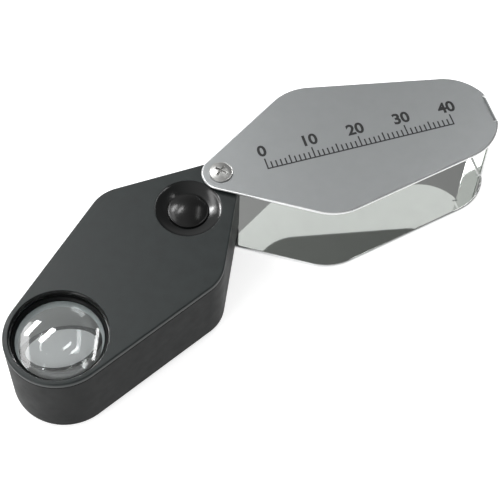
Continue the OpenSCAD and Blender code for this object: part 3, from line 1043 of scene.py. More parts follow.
@dataclass
class ScalePrint:
    """Plain millimetre scale printed on the cover's top."""

    start: Vector = Vector((-18.05 * MM, -1.6 * MM, 0.0))
    length_mm: int = 40
    line_w: float = 0.3 * MM
    line_ten: float = 2.4 * MM
    line_five: float = 1.9 * MM
    line_one: float = 1.4 * MM
    ink: float = 0.01 * MM
    figure: float = 3.6 * MM
    bold: float = 0.11 * MM
    figure_y: float = 3.1 * MM

    def bars(self) -> Solid:
        """Makes the scale's lines.

        Returns:
            A mesh with one thin block for each line.
        """
        bm = bmesh.new()
        for mark in range(self.length_mm + 1):
            tall = self.line_ten if mark % 10 == 0 else self.line_five if mark % 5 == 0 else self.line_one
            self.slab(bm, mark * MM - self.line_w / 2, 0.0, self.line_w, tall)
        self.slab(bm, -self.line_w / 2, -self.line_w, self.length_mm * MM + self.line_w, self.line_w)
        return bm

    def slab(self, bm: Solid, x: float, y: float, wide: float, tall: float) -> None:
        """Adds one thin block of ink.

        Args:
            bm: Mesh that it is added to.
            x: Left side.
            y: Lower side.
            wide: Width.
            tall: Height in the plane.
        """
        square = ((x, y), (x + wide, y), (x + wide, y + tall), (x, y + tall))
        low = [bm.verts.new((px, py, 0.0)) for px, py in square]
        high = [bm.verts.new((px, py, self.ink)) for px, py in square]
        bm.faces.new(low[::-1])
        bm.faces.new(high)
        for k in range(4):
            n = (k + 1) % 4
            bm.faces.new((low[k], low[n], high[n], high[k]))

    def figures(self) -> list[Solid]:
        """Makes the numbers over the centimetre lines.

        Returns:
            One mesh for each number.
        """
        made = []
        for mark in range(0, self.length_mm + 1, 10):
            text = bpy.data.curves.new("figure", "FONT")
            text.body = str(mark)
            text.size = self.figure
            text.align_x = "CENTER"
            text.offset = self.bold
            text.extrude = self.ink / 2
            holder = bpy.data.objects.new("figure", text)
            bpy.context.scene.collection.objects.link(holder)
            graph = bpy.context.evaluated_depsgraph_get()
            mesh = bpy.data.meshes.new_from_object(holder.evaluated_get(graph))
            bm = bmesh.new()
            bm.from_mesh(mesh)
            made.append(put(bm, Matrix.Translation((mark * MM, self.figure_y, self.ink / 2))))
            bpy.data.objects.remove(holder)
            bpy.data.meshes.remove(mesh)
        return made

    def build(self) -> None:
        """Builds the print as one piece of thin ink."""
        bm = self.bars()
        for number in self.figures():
            mesh = Piece.mesh_of("figure", number)
            bm.from_mesh(mesh)
            bpy.data.meshes.remove(mesh)
        place = Matrix.Translation(self.start + Vector((0.0, 0.0, level("cover", True))))
        Piece("scale_print", bm, place, Finish.PRINT_INK).dress(Body.COVER)


@dataclass
class Case:
    """Black case of the swinging body: the shell, its lid, the battery door and the screws."""

    nose_r: float = 3.9 * MM
    wide_x: float = 19.8 * MM
    half_w: float = 15.3 * MM
    corner_r: float = 7.9 * MM
    end_r: float = 10.5 * MM
    edge_r: float = 1.2 * MM
    lid_edge: float = 0.35 * MM
    seam_edge: float = 0.2 * MM
    wall: float = 1.4 * MM
    floor_ease: float = 0.5 * MM
    overlap: float = 0.1 * MM
    nose_len: float = 4.8 * MM
    pivot_bore_r: float = 1.85 * MM
    mouth: float = 0.2 * MM

    # Lens tube and the lens's mouth in the lid
    lens_x: float = LENS_X
    tube_r: float = 10.35 * MM
    well_r: float = 9.15 * MM
    mouth_r: float = 9.55 * MM
    mouth_deep: float = 0.7 * MM
    mouth_ease: float = 0.03 * MM
    bore_r: float = BORE_R

    # Button's bore, its guide under the lid and its dish
    button_x: float = BUTTON_X
    button_bore_r: float = 4.15 * MM
    dish_reach: float = 6.5 * MM
    dish_depth: float = 1.6 * MM
    dish_lip: float = 0.3 * MM
    dish_ease: float = 0.06 * MM
    dish_turn: float = 0.022 * MM
    dish_flat: float = 0.1 * MM
    guide_r: float = 7.0 * MM
    guide_z: float = 16.4 * MM

    # Where the lid's glossier finish starts and ends
    gloss_deep: float = 0.6 * MM
    gloss_below: float = 0.004 * MM
    gloss_in: float = 0.02 * MM

    # Battery well and its door
    cell_x: float = CELL_X
    pocket_r: float = 6.0 * MM
    pocket_wall: float = 1.0 * MM
    door_ledge: float = 1.5 * MM
    door_gap: float = 0.1 * MM
    door_ease: float = 0.12 * MM
    door_screw_x: float = 16.4 * MM
    door_nose_r: float = 2.6 * MM
    door_post_r: float = 2.2 * MM
    door_post_h: float = 4.2 * MM
    door_pilot_h: float = 3.4 * MM
    plug_in: float = 0.3 * MM

    # Posts that the circuit board is screwed to and rests on
    board_post_x: float = 15.4 * MM
    board_post_y: float = 4.4 * MM
    board_post_r: float = 1.5 * MM
    board_rest_x: float = 7.4 * MM
    board_rest_y: float = 3.4 * MM
    board_rest_r: float = 1.1 * MM

    # Slots for the contacts in the battery well's wall
    slot_start: float = 18.0 * MM
    slot_end: float = 23.6 * MM
    slot_in: float = 2.4 * MM
    slot_out: float = 4.6 * MM
    slot_t: float = 0.45 * MM

    # Screws of the lid and the door, and the lid's posts
    post_r: float = 2.4 * MM
    side_post_past: float = 2.1 * MM
    side_post_in: float = 4.0 * MM
    end_post_before: float = 12.0 * MM
    end_post_in: float = 2.0 * MM
    screw_bore_r: float = 0.95 * MM
    pilot_r: float = 0.77 * MM
    pilot_reach: float = 10.0 * MM
    head_r: float = 1.4 * MM
    head_h: float = 1.0 * MM
    head_gap: float = 0.2 * MM
    sunk_head_h: float = 0.7 * MM
    sunk_gap: float = 0.02 * MM
    sunk_edge: float = 0.05 * MM
    shank_r: float = 0.75 * MM
    shank_point: float = 0.4 * MM
    arm: float = 0.8 * MM
    arm_half: float = 0.18 * MM
    arm_turn: float = 20.0

    def __post_init__(self) -> None:
        """Works out the heights from the frame."""
        self.bottom = level("body_shell", False)
        self.seam = level("body_shell", True)
        self.top = level("top_plate", True)
        self.floor = level("negative_contact", False)
        self.door_t = level("door_screw", False) + self.sunk_head_h - self.bottom
        self.cells_top = level("positive_contact", True)
        self.board = level("circuit_board", False)
        self.split = level("top_plate", False)
        self.screw_seat = level("case_screws", False) + self.head_h
        self.sleeve = level("light_sleeve", False)
        side_y = self.half_w - self.corner_r
        self.outline = Outline((
            Disc(0.0, 0.0, self.nose_r),
            Disc(self.wide_x, -side_y, self.corner_r),
            Disc(self.lens_x, 0.0, self.end_r),
            Disc(self.wide_x, side_y, self.corner_r),
        ))
        self.door = Outline((
            Disc(self.cell_x, 0.0, self.pocket_r + self.door_ledge),
            Disc(self.door_screw_x, 0.0, self.door_nose_r),
        ))
        self.posts = [
            (x, side * y)
            for x, y in (
                (self.wide_x + self.side_post_past, self.half_w - self.side_post_in),
                (self.lens_x - self.end_post_before, self.end_r - self.end_post_in),
            )
            for side in (-1, 1)
        ]

    def shell_block(self) -> Solid:
        """Makes the outside of the shell, rounded below and eased at the seam.

        Returns:
            The closed block.
        """
        profile = rounded([
            (2.0 * self.edge_r, self.bottom, 0.0), (0.0, self.bottom, self.edge_r),
            (0.0, self.seam, self.seam_edge), (self.wall / 2, self.seam, 0.0),
        ], steps=7)
        return skin([self.outline.ring(z, inset) for inset, z in profile])

    def hollow(self) -> Solid:
        """Makes the tool that empties the shell, which spares the lens tube and the solid nose.

        Returns:
            The tool.
        """
        tool = Piece("hollow", skin([
            self.outline.ring(self.floor, self.wall + self.floor_ease),
            self.outline.ring(self.floor + self.floor_ease, self.wall),
            self.outline.ring(self.seam + MM, self.wall),
        ]), Matrix.Identity(4))
        return tool.work(Cut.TAKE, [
            bar(self.lens_x, 0.0, 0.0, self.top + MM, self.tube_r),
            self.nose_block(0.0),
        ]).into_tool()

    def nose_block(self, past: float) -> Solid:
        """Makes a block over the nose's solid part, and past it by a little."""
        return brick((-self.half_w, -self.half_w, 0.0), (self.nose_len + past, self.half_w, self.top + MM))

    def shell_posts(self) -> list[Solid]:
        """Makes the battery well and the posts that stand on the floor.

        Returns:
            Solids that join the shell.
        """
        foot = self.bottom + self.edge_r
        made = [
            bar(self.cell_x, 0.0, foot, self.cells_top + self.pocket_wall, self.pocket_r + self.pocket_wall),
            bar(self.door_screw_x, 0.0, foot, self.floor + self.door_post_h, self.door_post_r),
        ]
        for side in (-1, 1):
            y_post, y_rest = side * self.board_post_y, side * self.board_rest_y
            made.append(bar(self.board_post_x, y_post, foot, self.board, self.board_post_r))
            made.append(bar(self.board_rest_x, y_rest, foot, self.board, self.board_rest_r))
        made += [bar(x, y, foot, self.split, self.post_r) for x, y in self.posts]
        return made

    def mouthed(self, x: float, y: float, z: float, deep: float, r: float) -> Solid:
        """Makes the tool for a round hole in the underside, with an eased mouth.

        Args:
            x: Place of its axis.
            y: Place of its axis.
            z: Height of the face that it opens in.
            deep: Height of its end.
            r: Its radius.

        Returns:
            The tool.
        """
        m = self.mouth
        return turned([
            (0.0, z - MM), (r + m, z - MM), (r + m, z), (r + 0.4 * m, z + 0.15 * m),
            (r + 0.1 * m, z + 0.45 * m), (r, z + m), (r, deep), (0.0, deep),
        ], x, y)

    def shell_cuts(self) -> list[Solid]:
        """Makes every tool that cuts the shell.

        Returns:
            The tools.
        """
        z0, tall = self.bottom, self.top + MM
        tools = [
            self.mouthed(0.0, 0.0, z0, tall, self.pivot_bore_r),
            self.mouthed(self.lens_x, 0.0, z0, tall, self.bore_r),
            bar(self.lens_x, 0.0, self.sleeve, tall, self.well_r),
            Lamp().hole(),
            bar(self.cell_x, 0.0, z0 - MM, self.cells_top, self.pocket_r),
            skin([
                self.door.ring(z0 - MM, -self.door_ease), self.door.ring(z0, -self.door_ease),
                self.door.ring(z0 + self.door_ease), self.door.ring(z0 + self.door_t),
            ]),
            bar(self.door_screw_x, 0.0, z0, self.floor + self.door_pilot_h, self.pilot_r),
        ]
        for x, y in self.posts:
            tools.append(self.mouthed(x, y, z0, self.screw_seat, self.head_r + self.head_gap))
            tools.append(bar(x, y, z0, tall, self.screw_bore_r))
        for y in (-self.board_post_y, self.board_post_y):
            tools.append(bar(self.board_post_x, y, self.floor + MM, tall, self.pilot_r))
        x0, x1, high, low = self.slot_start, self.slot_end, self.cells_top, self.floor
        tools.append(brick((x0, self.slot_in, high - self.slot_t), (x1, self.slot_out, high)))
        tools.append(brick((x0, -self.slot_out, low), (x1, -self.slot_in, low + self.slot_t)))
        return tools

    def build_shell(self) -> None:
        """Builds the open-topped shell."""
        piece = Piece("case_shell", self.shell_block(), in_body(), Finish.CASE_BLACK)
        piece.work(Cut.TAKE, [self.hollow()])
        piece.work(Cut.ADD, self.shell_posts())
        piece.work(Cut.TAKE, self.shell_cuts())
        piece.dress(Body.LOUPE, replaces=["body_shell"])

    def lid_block(self) -> Solid:
        """Makes the lid's plate, rounded above and eased at the seam.

        Returns:
            The closed plate.
        """
        profile = rounded([
            (2.0 * self.edge_r, self.seam, 0.0), (0.0, self.seam, self.seam_edge),
            (0.0, self.top, self.lid_edge), (2.0 * self.edge_r, self.top, 0.0),
        ], steps=6)
        return skin([self.outline.ring(z, inset) for inset, z in profile])

    def dish_tool(self) -> Solid:
        """Makes the tool for the button's bore and the round dish above it.

        Returns:
            The tool.
        """
        reach, deep, bore = self.dish_reach, self.dish_depth, self.button_bore_r
        lip, ease = self.dish_lip, self.dish_ease
        radius = (reach ** 2 + deep ** 2) / (2 * deep)
        arc = cap_arc(radius, reach, self.top - deep, steps=24, up=False)
        bowl = [(r, z) for r, z in arc if r > bore + self.dish_flat][::-1]
        meet = radius - math.sqrt(radius ** 2 - bore ** 2) + self.top - deep
        return turned([
            (0.0, self.split), (bore, self.split), (bore, meet - ease), (bore + ease / 2, meet),
            *bowl[:-1],
            (reach - ease / 3, self.top - ease), (reach + 0.3 * lip, self.top - self.dish_turn),
            (reach + lip, self.top), (reach + lip, self.top + MM), (0.0, self.top + MM),
        ], self.button_x, 0.0)

    def lens_mouth(self) -> Solid:
        """Makes the tool for the lens's mouth in the lid, which widens upwards.

        Returns:
            The tool.
        """
        ease = self.mouth_ease
        return turned([
            (0.0, self.seam - MM), (self.well_r, self.seam - MM), (self.well_r, self.top - self.mouth_deep),
            (self.mouth_r - ease, self.top - 2 * ease), (self.mouth_r + ease, self.top),
            (self.mouth_r + ease, self.top + MM), (0.0, self.top + MM),
        ], self.lens_x, 0.0)

    def is_glossy(self, spot: Vector) -> bool:
        """Tells whether a spot of the lid lies in the button's dish or in the lens's mouth.

        Args:
            spot: Middle of a face, in the body's space.

        Returns:
            True where the lid has its glossier finish.
        """
        from_button = math.hypot(spot.x - self.button_x, spot.y)
        from_lens = math.hypot(spot.x - self.lens_x, spot.y)
        inside = from_button < self.dish_reach + self.dish_flat or from_lens < self.mouth_r - self.gloss_in
        return inside and self.seam - self.gloss_deep < spot.z < self.top - self.gloss_below

    def build_lid(self) -> None:
        """Builds the lid, whose dish has a glossier finish than the rest."""
        joined = self.seam + self.overlap
        ring = Piece("guide", bar(self.button_x, 0.0, self.guide_z, joined, self.guide_r), Matrix.Identity(4))
        boss = ring.work(Cut.TAKE, [self.nose_block(self.overlap)]).into_tool()
        piece = Piece("case_lid", self.lid_block(), in_body(), Finish.LID_BLACK, Finish.DISH_BLACK)
        piece.work(Cut.ADD, [boss] + [bar(x, y, self.split, joined, self.post_r) for x, y in self.posts])
        pilot_top = self.screw_seat + self.pilot_reach
        piece.work(Cut.TAKE, [
            bar(0.0, 0.0, self.seam - MM, self.top + MM, self.pivot_bore_r),
            self.lens_mouth(),
            self.dish_tool(),
        ] + [bar(x, y, self.split - MM, pilot_top, self.pilot_r) for x, y in self.posts])
        for face in piece.thing.data.polygons:
            face.material_index = int(self.is_glossy(face.center))
        piece.dress(Body.LOUPE, replaces=["top_plate"])

    def build_door(self) -> None:
        """Builds the battery door with its plug and sunk screw hole."""
        gap, z0 = self.door_gap, self.bottom
        plate = rounded([
            (gap + MM, z0, 0.0), (gap, z0, self.door_ease), (gap, z0 + self.door_t, 0.0),
            (gap + MM, z0 + self.door_t, 0.0),
        ])
        slab = skin([self.door.ring(z, inset) for inset, z in plate])
        piece = Piece("cell_door", slab, in_body(), Finish.CASE_BLACK)
        piece.work(Cut.ADD, [bar(self.cell_x, 0.0, z0 + self.plug_in, self.floor, self.pocket_r - gap)])
        cone_r = self.head_r + self.sunk_gap
        piece.work(Cut.TAKE, [turned([
            (0.0, z0 - MM), (cone_r, z0 - MM), (cone_r, z0),
            (self.pilot_r, z0 + self.door_t), (self.pilot_r, z0 + 2 * MM), (0.0, z0 + 2 * MM),
        ], self.door_screw_x, 0.0)])
        piece.dress(Body.LOUPE, replaces=["battery_door"])

    def recess(self, x: float, y: float, z: float, deep: float) -> list[Solid]:
        """Makes the tools of a cross recess, so deep, in a head whose face looks down at that place."""
        cross = cross_tools(self.arm, self.arm_half, -MM, deep, self.arm_turn)
        return [put(tool, Matrix.Translation((x, y, z))) for tool in cross]

    def build_screws(self) -> None:
        """Builds the door screw and the four case screws."""
        z0, z1 = level("door_screw", False), level("door_screw", True)
        door = Piece("door_screw_sunk", turned([
            (0.0, z0), (self.head_r - self.sunk_edge, z0), (self.head_r, z0 + 0.6 * self.sunk_edge),
            (self.shank_r, z0 + self.door_t), (self.shank_r, z1 - self.shank_point), (0.4 * self.shank_r, z1),
            (0.0, z1),
        ], self.door_screw_x, 0.0), in_body(), Finish.SCREW_STEEL)
        door.work(Cut.TAKE, self.recess(self.door_screw_x, 0.0, z0, 0.3 * self.head_h))
        door.dress(Body.LOUPE, replaces=["door_screw"])
        low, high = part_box("case_screws")
        profile = rounded([
            (0.0, low.z, 0.0), (self.head_r, low.z, self.head_h / 4), (self.head_r, self.screw_seat, 0.0),
            (self.shank_r, self.screw_seat, 0.0), (self.shank_r, high.z, 0.4 * self.shank_r),
            (0.0, high.z, 0.0),
        ])
        first, *others = self.posts
        screws = Piece("case_screw_set", turned(profile, *first), in_body(), Finish.SCREW_STEEL)
        screws.work(Cut.ADD, [turned(profile, x, y) for x, y in others])
        screws.work(Cut.TAKE, [t for x, y in self.posts for t in self.recess(x, y, low.z, 0.4 * self.head_h)])
        screws.dress(Body.LOUPE, replaces=["case_screws"])

    def build(self) -> None:
        """Builds the case in order."""
        self.build_shell()
        self.build_lid()
        self.build_door()
        self.build_screws()


@dataclass
class Optics:
    """Lens, the ring that holds it and the sleeve of its well."""

    lens_x: float = LENS_X
    lens_r: float = 9.1 * MM
    view_r: float = 8.4 * MM
    curve_r: float = 26.0 * MM
    ground: float = 0.12 * MM

    # Sleeve and ring
    bore_r: float = BORE_R
    sleeve_r: float = 9.13 * MM
    lip_r: float = 7.55 * MM
    lip_t: float = 0.35 * MM
    ring_ease: float = 0.08 * MM
    ring_flat: float = 0.45 * MM
    ring_bevel: float = 0.4 * MM
    gap: float = 0.02 * MM

    def __post_init__(self) -> None:
        """Works out the heights from the frame."""
        low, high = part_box("lens")
        self.sag = self.curve_r - math.sqrt(self.curve_r ** 2 - self.lens_r ** 2)
        self.upper_pole, self.lower_pole = high.z, low.z
        self.edge_top, self.edge_bottom = high.z - self.sag, low.z + self.sag

    def face_z(self, r: float) -> float:
        """Works out how far a curved face rises over its own edge at a distance from the axis."""
        deep = self.curve_r - self.sag
        return math.sqrt(self.curve_r ** 2 - r ** 2) - deep

    def along_lens(self, inner: float, steps: int, above: bool) -> list[Point]:
        """Works out a line that follows a face of the lens, from the sleeve's outside inwards.

        Args:
            inner: Radius where the line ends.
            steps: Steps in the line.
            above: True over the lens, False under it.

        Returns:
            Points as (across, height), the outermost first.
        """
        radii = [self.sleeve_r - (self.sleeve_r - inner) * k / steps for k in range(steps + 1)]
        rise = [self.face_z(min(r, self.lens_r)) + self.gap for r in radii]
        if above:
            return [(r, self.edge_top + h) for r, h in zip(radii, rise)]
        return [(r, self.edge_bottom - h) for r, h in zip(radii, rise)]

    def build_lens(self) -> None:
        """Builds the lens with two curved faces and an eased ground edge."""
        reach = self.lens_r - self.ground
        lower = cap_arc(self.curve_r, reach, self.lower_pole, steps=20, up=False)[::-1]
        upper = cap_arc(self.curve_r, reach, self.upper_pole, steps=20)
        edge = [
            (self.lens_r, self.edge_bottom + self.ground / 2), (self.lens_r, self.edge_top - self.ground / 2),
        ]
        disc = turned(lower + edge + upper, self.lens_x)
        piece = Piece("lens_disc", disc, in_body(), Finish.LENS_GLASS)
        piece.dress(Body.LOUPE, replaces=["lens"])

    def build_ring(self) -> None:
        """Builds the ring, whose underside follows the lens."""
        top, outer, ease = level("lens_ring", True), self.sleeve_r, self.ring_ease
        profile = [
            *self.along_lens(self.view_r, 4, True)[::-1], (outer, top - ease), (outer - ease, top),
            (self.view_r + self.ring_flat, top), (self.view_r + 0.8 * self.ring_flat, top - ease / 2),
            (self.view_r, top - self.ring_bevel),
        ]
        ring = turned(profile, self.lens_x, looped=True)
        piece = Piece("retaining_ring", ring, in_body(), Finish.RING_BLACK)
        piece.dress(Body.LOUPE, replaces=["lens_ring"])

    def build_sleeve(self) -> None:
        """Builds the sleeve with its pale lip and the lamp's hole; its wall below the lip is painted grey as
        painted shade inside the well.
        """
        foot = level("light_sleeve", False)
        seat = self.along_lens(self.lip_r, 5, False)
        lip_z = seat[-1][1] - self.lip_t
        profile = [
            (self.bore_r, foot), (self.sleeve_r, foot), *seat, (self.lip_r, lip_z),
            (self.bore_r, lip_z - self.lip_t),
        ]
        bm = turned(profile, self.lens_x, looped=True)
        for face in bm.faces:
            # Faces below the lip take the grey painted shade of the well, the lip's faces the sleeve's own
            # pale colour.
            face.material_index = int(face.calc_center_median().z > lip_z - self.gap)
        piece = Piece("sleeve_liner", bm, in_body(), Finish.SLEEVE_GREY, Finish.SLEEVE_LIP)
        piece.work(Cut.TAKE, [Lamp().hole()])
        piece.dress(Body.LOUPE, replaces=["light_sleeve"])

    def build(self) -> None:
        """Builds the optics in order."""
        self.build_lens()
        self.build_ring()
        self.build_sleeve()


@dataclass
class Lamp:
    """Small clear lamp that looks down into the well, with its metal cup."""

    lens_x: float = LENS_X
    bore_r: float = BORE_R
    height: float = 7.75 * MM
    tilt: float = math.radians(30.0)
    radius: float = 1.5 * MM
    flange_r: float = 1.9 * MM
    flange_t: float = 1.0 * MM
    flange_edge: float = 0.1 * MM
    length: float = 5.3 * MM
    out: float = 0.8 * MM

    # Hole in the well's wall
    hole_r: float = 1.55 * MM
    hole_back: float = 3.5 * MM
    hole_out: float = 1.0 * MM

    # Metal cup inside the lamp
    cup_foot: float = 1.2 * MM
    cup_h: float = 1.8 * MM
    cup_bowl: float = 0.3 * MM
    cup_r: float = 0.75 * MM
    cup_foot_r: float = 0.5 * MM

    def place_in_body(self) -> Matrix:
        """Gives the lamp's place in the body's space, its axis along local Z."""
        spot = Vector((self.lens_x - self.bore_r, 0.0, level("body_shell", False) + self.height))
        return Matrix.Translation(spot) @ Matrix.Rotation(math.pi / 2 + self.tilt, 4, "Y")

    def hole(self) -> Solid:
        """Makes the tool for the slanted hole that the lamp looks through."""
        return put(bar(0.0, 0.0, -self.hole_back, self.hole_out, self.hole_r), self.place_in_body())

    def build(self) -> None:
        """Builds the lamp's clear body and the metal inside it."""
        back, dome_z, edge = self.out - self.length, self.out - self.radius, self.flange_edge
        dome = [
            (self.radius * math.cos(a), dome_z + self.radius * math.sin(a))
            for a in (math.radians(90.0 * k / 10) for k in range(11))
        ]
        dome[-1] = (0.0, self.out)
        clear = Piece("lamp_body", turned([
            (0.0, back), (self.flange_r - edge, back), (self.flange_r, back + edge),
            (self.flange_r, back + self.flange_t), (self.radius, back + self.flange_t + 0.8 * edge), *dome,
        ]), in_body() @ self.place_in_body(), Finish.LAMP_RESIN)
        clear.dress(Body.LOUPE, replaces=["led"])
        foot = back + self.cup_foot
        rim = foot + self.cup_h
        bowl = rim - self.cup_bowl
        cup = turned([
            (0.0, foot), (self.cup_foot_r, foot), (self.cup_r, rim), (0.8 * self.cup_r, rim),
            (0.4 * self.cup_r, bowl), (0.0, bowl),
        ])
        metal = Piece("lamp_cup", cup, in_body() @ self.place_in_body(), Finish.SPRING_STEEL)
        metal.dress(Body.LOUPE)


@dataclass
class Button:
    """Push button with a domed glossy crown, a flange and a stem."""

    x: float = BUTTON_X
    radius: float = 4.1 * MM
    flange_r: float = 4.85 * MM
    flange_t: float = 0.8 * MM
    stem_r: float = 1.6 * MM
    crown_h: float = 0.95 * MM
    crown_share: float = 0.955
    ease: float = 0.1 * MM

    def build(self) -> None:
        """Builds the button."""
        top, foot = level("button_cap", True), level("button_cap", False)
        flange = level("button_spring", True)
        guide = flange + self.flange_t
        crown_r = (self.radius ** 2 + self.crown_h ** 2) / (2 * self.crown_h)
        body = rounded([
            (0.0, foot, 0.0), (self.stem_r, foot, self.ease), (self.stem_r, flange, 0.0),
            (self.flange_r, flange, self.ease), (self.flange_r, guide, self.ease), (self.radius, guide, 0.0),
        ])
        rim = top - self.crown_h
        shoulder = [
            (self.radius, rim - 1.2 * self.ease), (self.radius * 0.995, rim),
            (self.radius * 0.98, rim + 0.9 * self.ease),
        ]
        crown = cap_arc(crown_r, self.radius * self.crown_share, top, steps=18)
        dome = turned(body + shoulder + crown, self.x)
        piece = Piece("button_dome", dome, in_body(), Finish.BUTTON_BLACK)
        piece.dress(Body.BUTTON, replaces=["button_cap"])


@dataclass
class Works:
    """Pieces inside the body: the cells, the board, the switch, the springs and the contacts."""

    cell_x: float = CELL_X
    cell_r: float = 5.8 * MM
    cap_in: float = 1.0 * MM
    cap_h: float = 0.4 * MM
    rolled: float = 0.2 * MM
    pressed: float = 0.35 * MM

    def build_cells(self) -> None:
        """Builds the three button cells, each a can with a rolled edge round its cap."""
        for number in (1, 2, 3):
            node = f"battery_cell_{number}"
            z0, z1 = level(node, False), level(node, True)
            r, cap_r, rim = self.cell_r, self.cell_r - self.cap_in, z0 + self.cap_h
            profile = rounded([
                (0.0, z0, 0.0), (cap_r, z0, 0.75 * self.rolled), (cap_r, rim, 0.0), (r, rim, self.rolled),
                (r, z1, self.pressed), (0.0, z1, 0.0),
            ])
            can = turned(profile, self.cell_x)
            piece = Piece(f"button_cell_{number}", can, in_body(), Finish.CELL_NICKEL)
            piece.dress(Body.LOUPE, replaces=[node])

    def dress_nodes(self) -> None:
        """Gives the frame's own pieces their finishes."""
        finishes = {
            "lower_washer": (Finish.NYLON, Slot.NYLON),
            "upper_washer": (Finish.NYLON, Slot.NYLON),
            "led_wires": (Finish.WIRE_SHEATH, Slot.WIRE),
            "circuit_board": (Finish.BOARD_MASK, Slot.BOARD),
            "board_screws": (Finish.SCREW_STEEL, Slot.BRIGHT),
            "resistor": (Finish.CERAMIC, Slot.RESISTOR),
            "switch_case": (Finish.SWITCH_BLACK, Slot.SWITCH),
            "switch_plunger": (Finish.SLEEVE_LIP, Slot.SLEEVE),
            "button_spring": (Finish.SPRING_STEEL, Slot.BRIGHT),
            "positive_contact": (Finish.BRASS, Slot.BRASS),
            "negative_contact": (Finish.BRASS, Slot.BRASS),
            "contact_spring": (Finish.BRASS, Slot.BRASS),
        }
        for name, (finish, slot) in finishes.items():
            node = frame["nodes"][name]
            node.data.materials.clear()
            node.data.materials.append(finish.material())
            log.info("%s: dressed in %s", name, finish.value.name)

    def build(self) -> None:
        """Builds and dresses the works."""
        self.build_cells()
        self.dress_nodes()


@dataclass(frozen=True)
class Softbox:
    """One soft lamp of the studio, placed by its bearing from +Y towards +X and its elevation in degrees."""

    name: str
    bearing: float
    elevation: float
    away: float
    wide: float
    tall: float
    power: float
    roll: float = 0.0
    aim: Vector = Vector((-0.02, -0.01, 0.01))

    def build(self) -> None:
        """Hangs the lamp."""
        bearing, elevation = math.radians(self.bearing), math.radians(self.elevation)
        across = math.cos(elevation)
        way = Vector((math.sin(bearing) * across, math.cos(bearing) * across, math.sin(elevation)))
        lamp = bpy.data.lights.new(self.name, "AREA")
        lamp.shape = "RECTANGLE"
        lamp.size = self.wide
        lamp.size_y = self.tall
        lamp.energy = self.power
        holder = bpy.data.objects.new(self.name, lamp)
        holder.location = self.aim + way * self.away
        holder.rotation_mode = "QUATERNION"
        turn = Matrix.Rotation(math.radians(self.roll), 3, "Z").to_quaternion()
        holder.rotation_quaternion = (-way).to_track_quat("-Z", "Y") @ turn
        bpy.context.scene.collection.objects.link(holder)


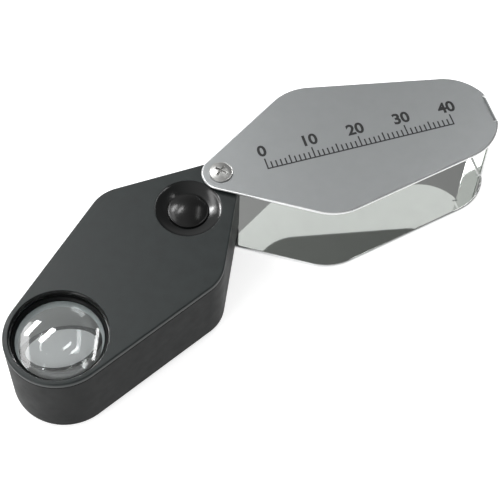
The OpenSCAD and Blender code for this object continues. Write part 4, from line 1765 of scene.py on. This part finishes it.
@dataclass
class Studio:
    """White floor and surroundings, soft lamps and the camera."""

    # Camera, with its focal length and its frame in pixels and its sensor in millimetres
    focal_px: float = 1347.3
    frame_px: float = 500.0
    sensor: float = 36.0
    eye: Vector = Vector((-72.37 * MM, -147.98 * MM, 241.30 * MM))
    pitch: float = math.radians(58.23)
    yaw: float = math.radians(19.29)
    roll: float = math.radians(2.46)

    # Light from the surroundings, and how they look in gloss on the right, low down and high up
    matt_left: float = 0.72
    matt_right: float = 0.52
    gloss_low: float = 0.5
    gloss_high: float = 0.27
    side_x: float = 0.6
    low_z: float = 0.2
    high_z: float = 0.45

    # Floor, and how much it glows to the camera, in gloss and through glass
    floor_half: float = 1.2
    floor_z: float = -0.02 * MM
    floor_white: Colour = (0.8, 0.8, 0.8)
    floor_rough: float = 0.9
    glow: float = 0.68
    glow_in_gloss: float = 0.58
    glow_in_glass: float = 0.33

    def build_camera(self) -> None:
        """Sets the camera at the photograph's place, turn and lens."""
        across = math.cos(self.pitch)
        forward = Vector((math.sin(self.yaw) * across, math.cos(self.yaw) * across, -math.sin(self.pitch)))
        level_right = Vector((math.cos(self.yaw), -math.sin(self.yaw), 0.0))
        level_up = level_right.cross(forward)
        right = math.cos(self.roll) * level_right + math.sin(self.roll) * level_up
        up = right.cross(forward)
        camera = bpy.data.cameras.new("camera")
        camera.sensor_width = self.sensor
        camera.lens = self.focal_px / self.frame_px * self.sensor
        camera.clip_start = 0.01
        camera.clip_end = 10.0
        holder = bpy.data.objects.new("camera", camera)
        turn = Matrix((right, up, -forward)).transposed().to_4x4()
        holder.matrix_world = Matrix.Translation(self.eye) @ turn
        bpy.context.scene.collection.objects.link(holder)
        bpy.context.scene.camera = holder

    def build_world(self) -> None:
        """Makes the surroundings, white to the camera and through glass.

        Gloss shows them white on the left and grey on the right, where the grey is darker higher up.
        Matt surfaces get a little less light from the right, as in a room with its window on the left.
        """
        world = bpy.data.worlds.new("studio")
        bpy.context.scene.world = world
        web = Web(world)
        path = web.add("ShaderNodeLightPath").outputs
        way = web.add("ShaderNodeSeparateXYZ")
        web.join(web.add("ShaderNodeTexCoord").outputs["Generated"], way.inputs[0])
        side = web.ramp(way.outputs["X"], -self.side_x, self.side_x)
        low, high = web.blend(side, 1.0, self.gloss_low), web.blend(side, 1.0, self.gloss_high)
        gloss = web.blend(web.ramp(way.outputs["Z"], self.low_z, self.high_z), low, high)
        matt = web.blend(side, self.matt_left, self.matt_right)
        plain = web.blend(path["Is Glossy Ray"], matt, gloss)
        clear = web.larger(path["Is Camera Ray"], path["Is Transmission Ray"])
        back = web.add("ShaderNodeBackground")
        web.join(web.blend(clear, plain, 1.0), back.inputs["Strength"])
        output = web.add("ShaderNodeOutputWorld")
        web.join(back.outputs["Background"], output.inputs["Surface"])

    def build_floor(self) -> None:
        """Lays the white floor, which glows a little to the camera and keeps the shadow."""
        bm = bmesh.new()
        half = self.floor_half
        corners = ((-half, -half), (half, -half), (half, half), (-half, half))
        bm.faces.new([bm.verts.new((x, y, self.floor_z)) for x, y in corners])
        floor = bpy.data.objects.new("studio_floor", Piece.mesh_of("studio_floor", bm))
        bpy.context.scene.collection.objects.link(floor)
        tree = Tree("floor_white")
        tree.shader.inputs["Base Color"].default_value = (*self.floor_white, 1.0)
        tree.shader.inputs["Roughness"].default_value = self.floor_rough
        tree.shader.inputs["Specular IOR Level"].default_value = 0.0
        tree.shader.inputs["Emission Color"].default_value = (1.0, 1.0, 1.0, 1.0)
        path = tree.add("ShaderNodeLightPath").outputs
        other = tree.blend(path["Is Glossy Ray"], 0.0, self.glow_in_gloss)
        through = tree.blend(path["Is Transmission Ray"], other, self.glow_in_glass)
        glow = tree.blend(path["Is Camera Ray"], through, self.glow)
        tree.join(glow, tree.shader.inputs["Emission Strength"])
        floor.data.materials.append(tree.material)

    def build(self) -> None:
        """Builds the studio."""
        self.build_camera()
        self.build_world()
        self.build_floor()
        for lamp in (
            Softbox("pane_high", -19.0, 56.0, 0.8, 0.21, 0.06, 1.1, roll=14.0),
            Softbox("pane_low", -25.0, 41.0, 0.8, 0.2, 0.06, 1.1, roll=14.0),
            Softbox("window", -44.0, 47.0, 0.8, 0.6, 0.1, 0.85, roll=35.0),
            Softbox("side", -120.0, 30.0, 0.7, 0.3, 0.3, 1.3),
            Softbox("strip", 60.0, 60.0, 0.7, 0.03, 0.4, 0.35, roll=41.0),
            Softbox("glint", -34.8, 52.9, 0.8, 0.06, 0.028, 0.0105, aim=Vector((0.029, 0.0, 0.001))),
        ):
            lamp.build()
        bpy.context.scene.view_settings.view_transform = "Standard"


def main() -> None:
    """Builds the studio and every piece of the loupe in order."""
    logging.basicConfig(level=logging.INFO, format="%(name)s: %(message)s")
    Studio().build()
    for part in (Cover(), ScalePrint(), Case(), Optics(), Lamp(), Button(), Works()):
        part.build()


if __name__ == "__main__":
    main()
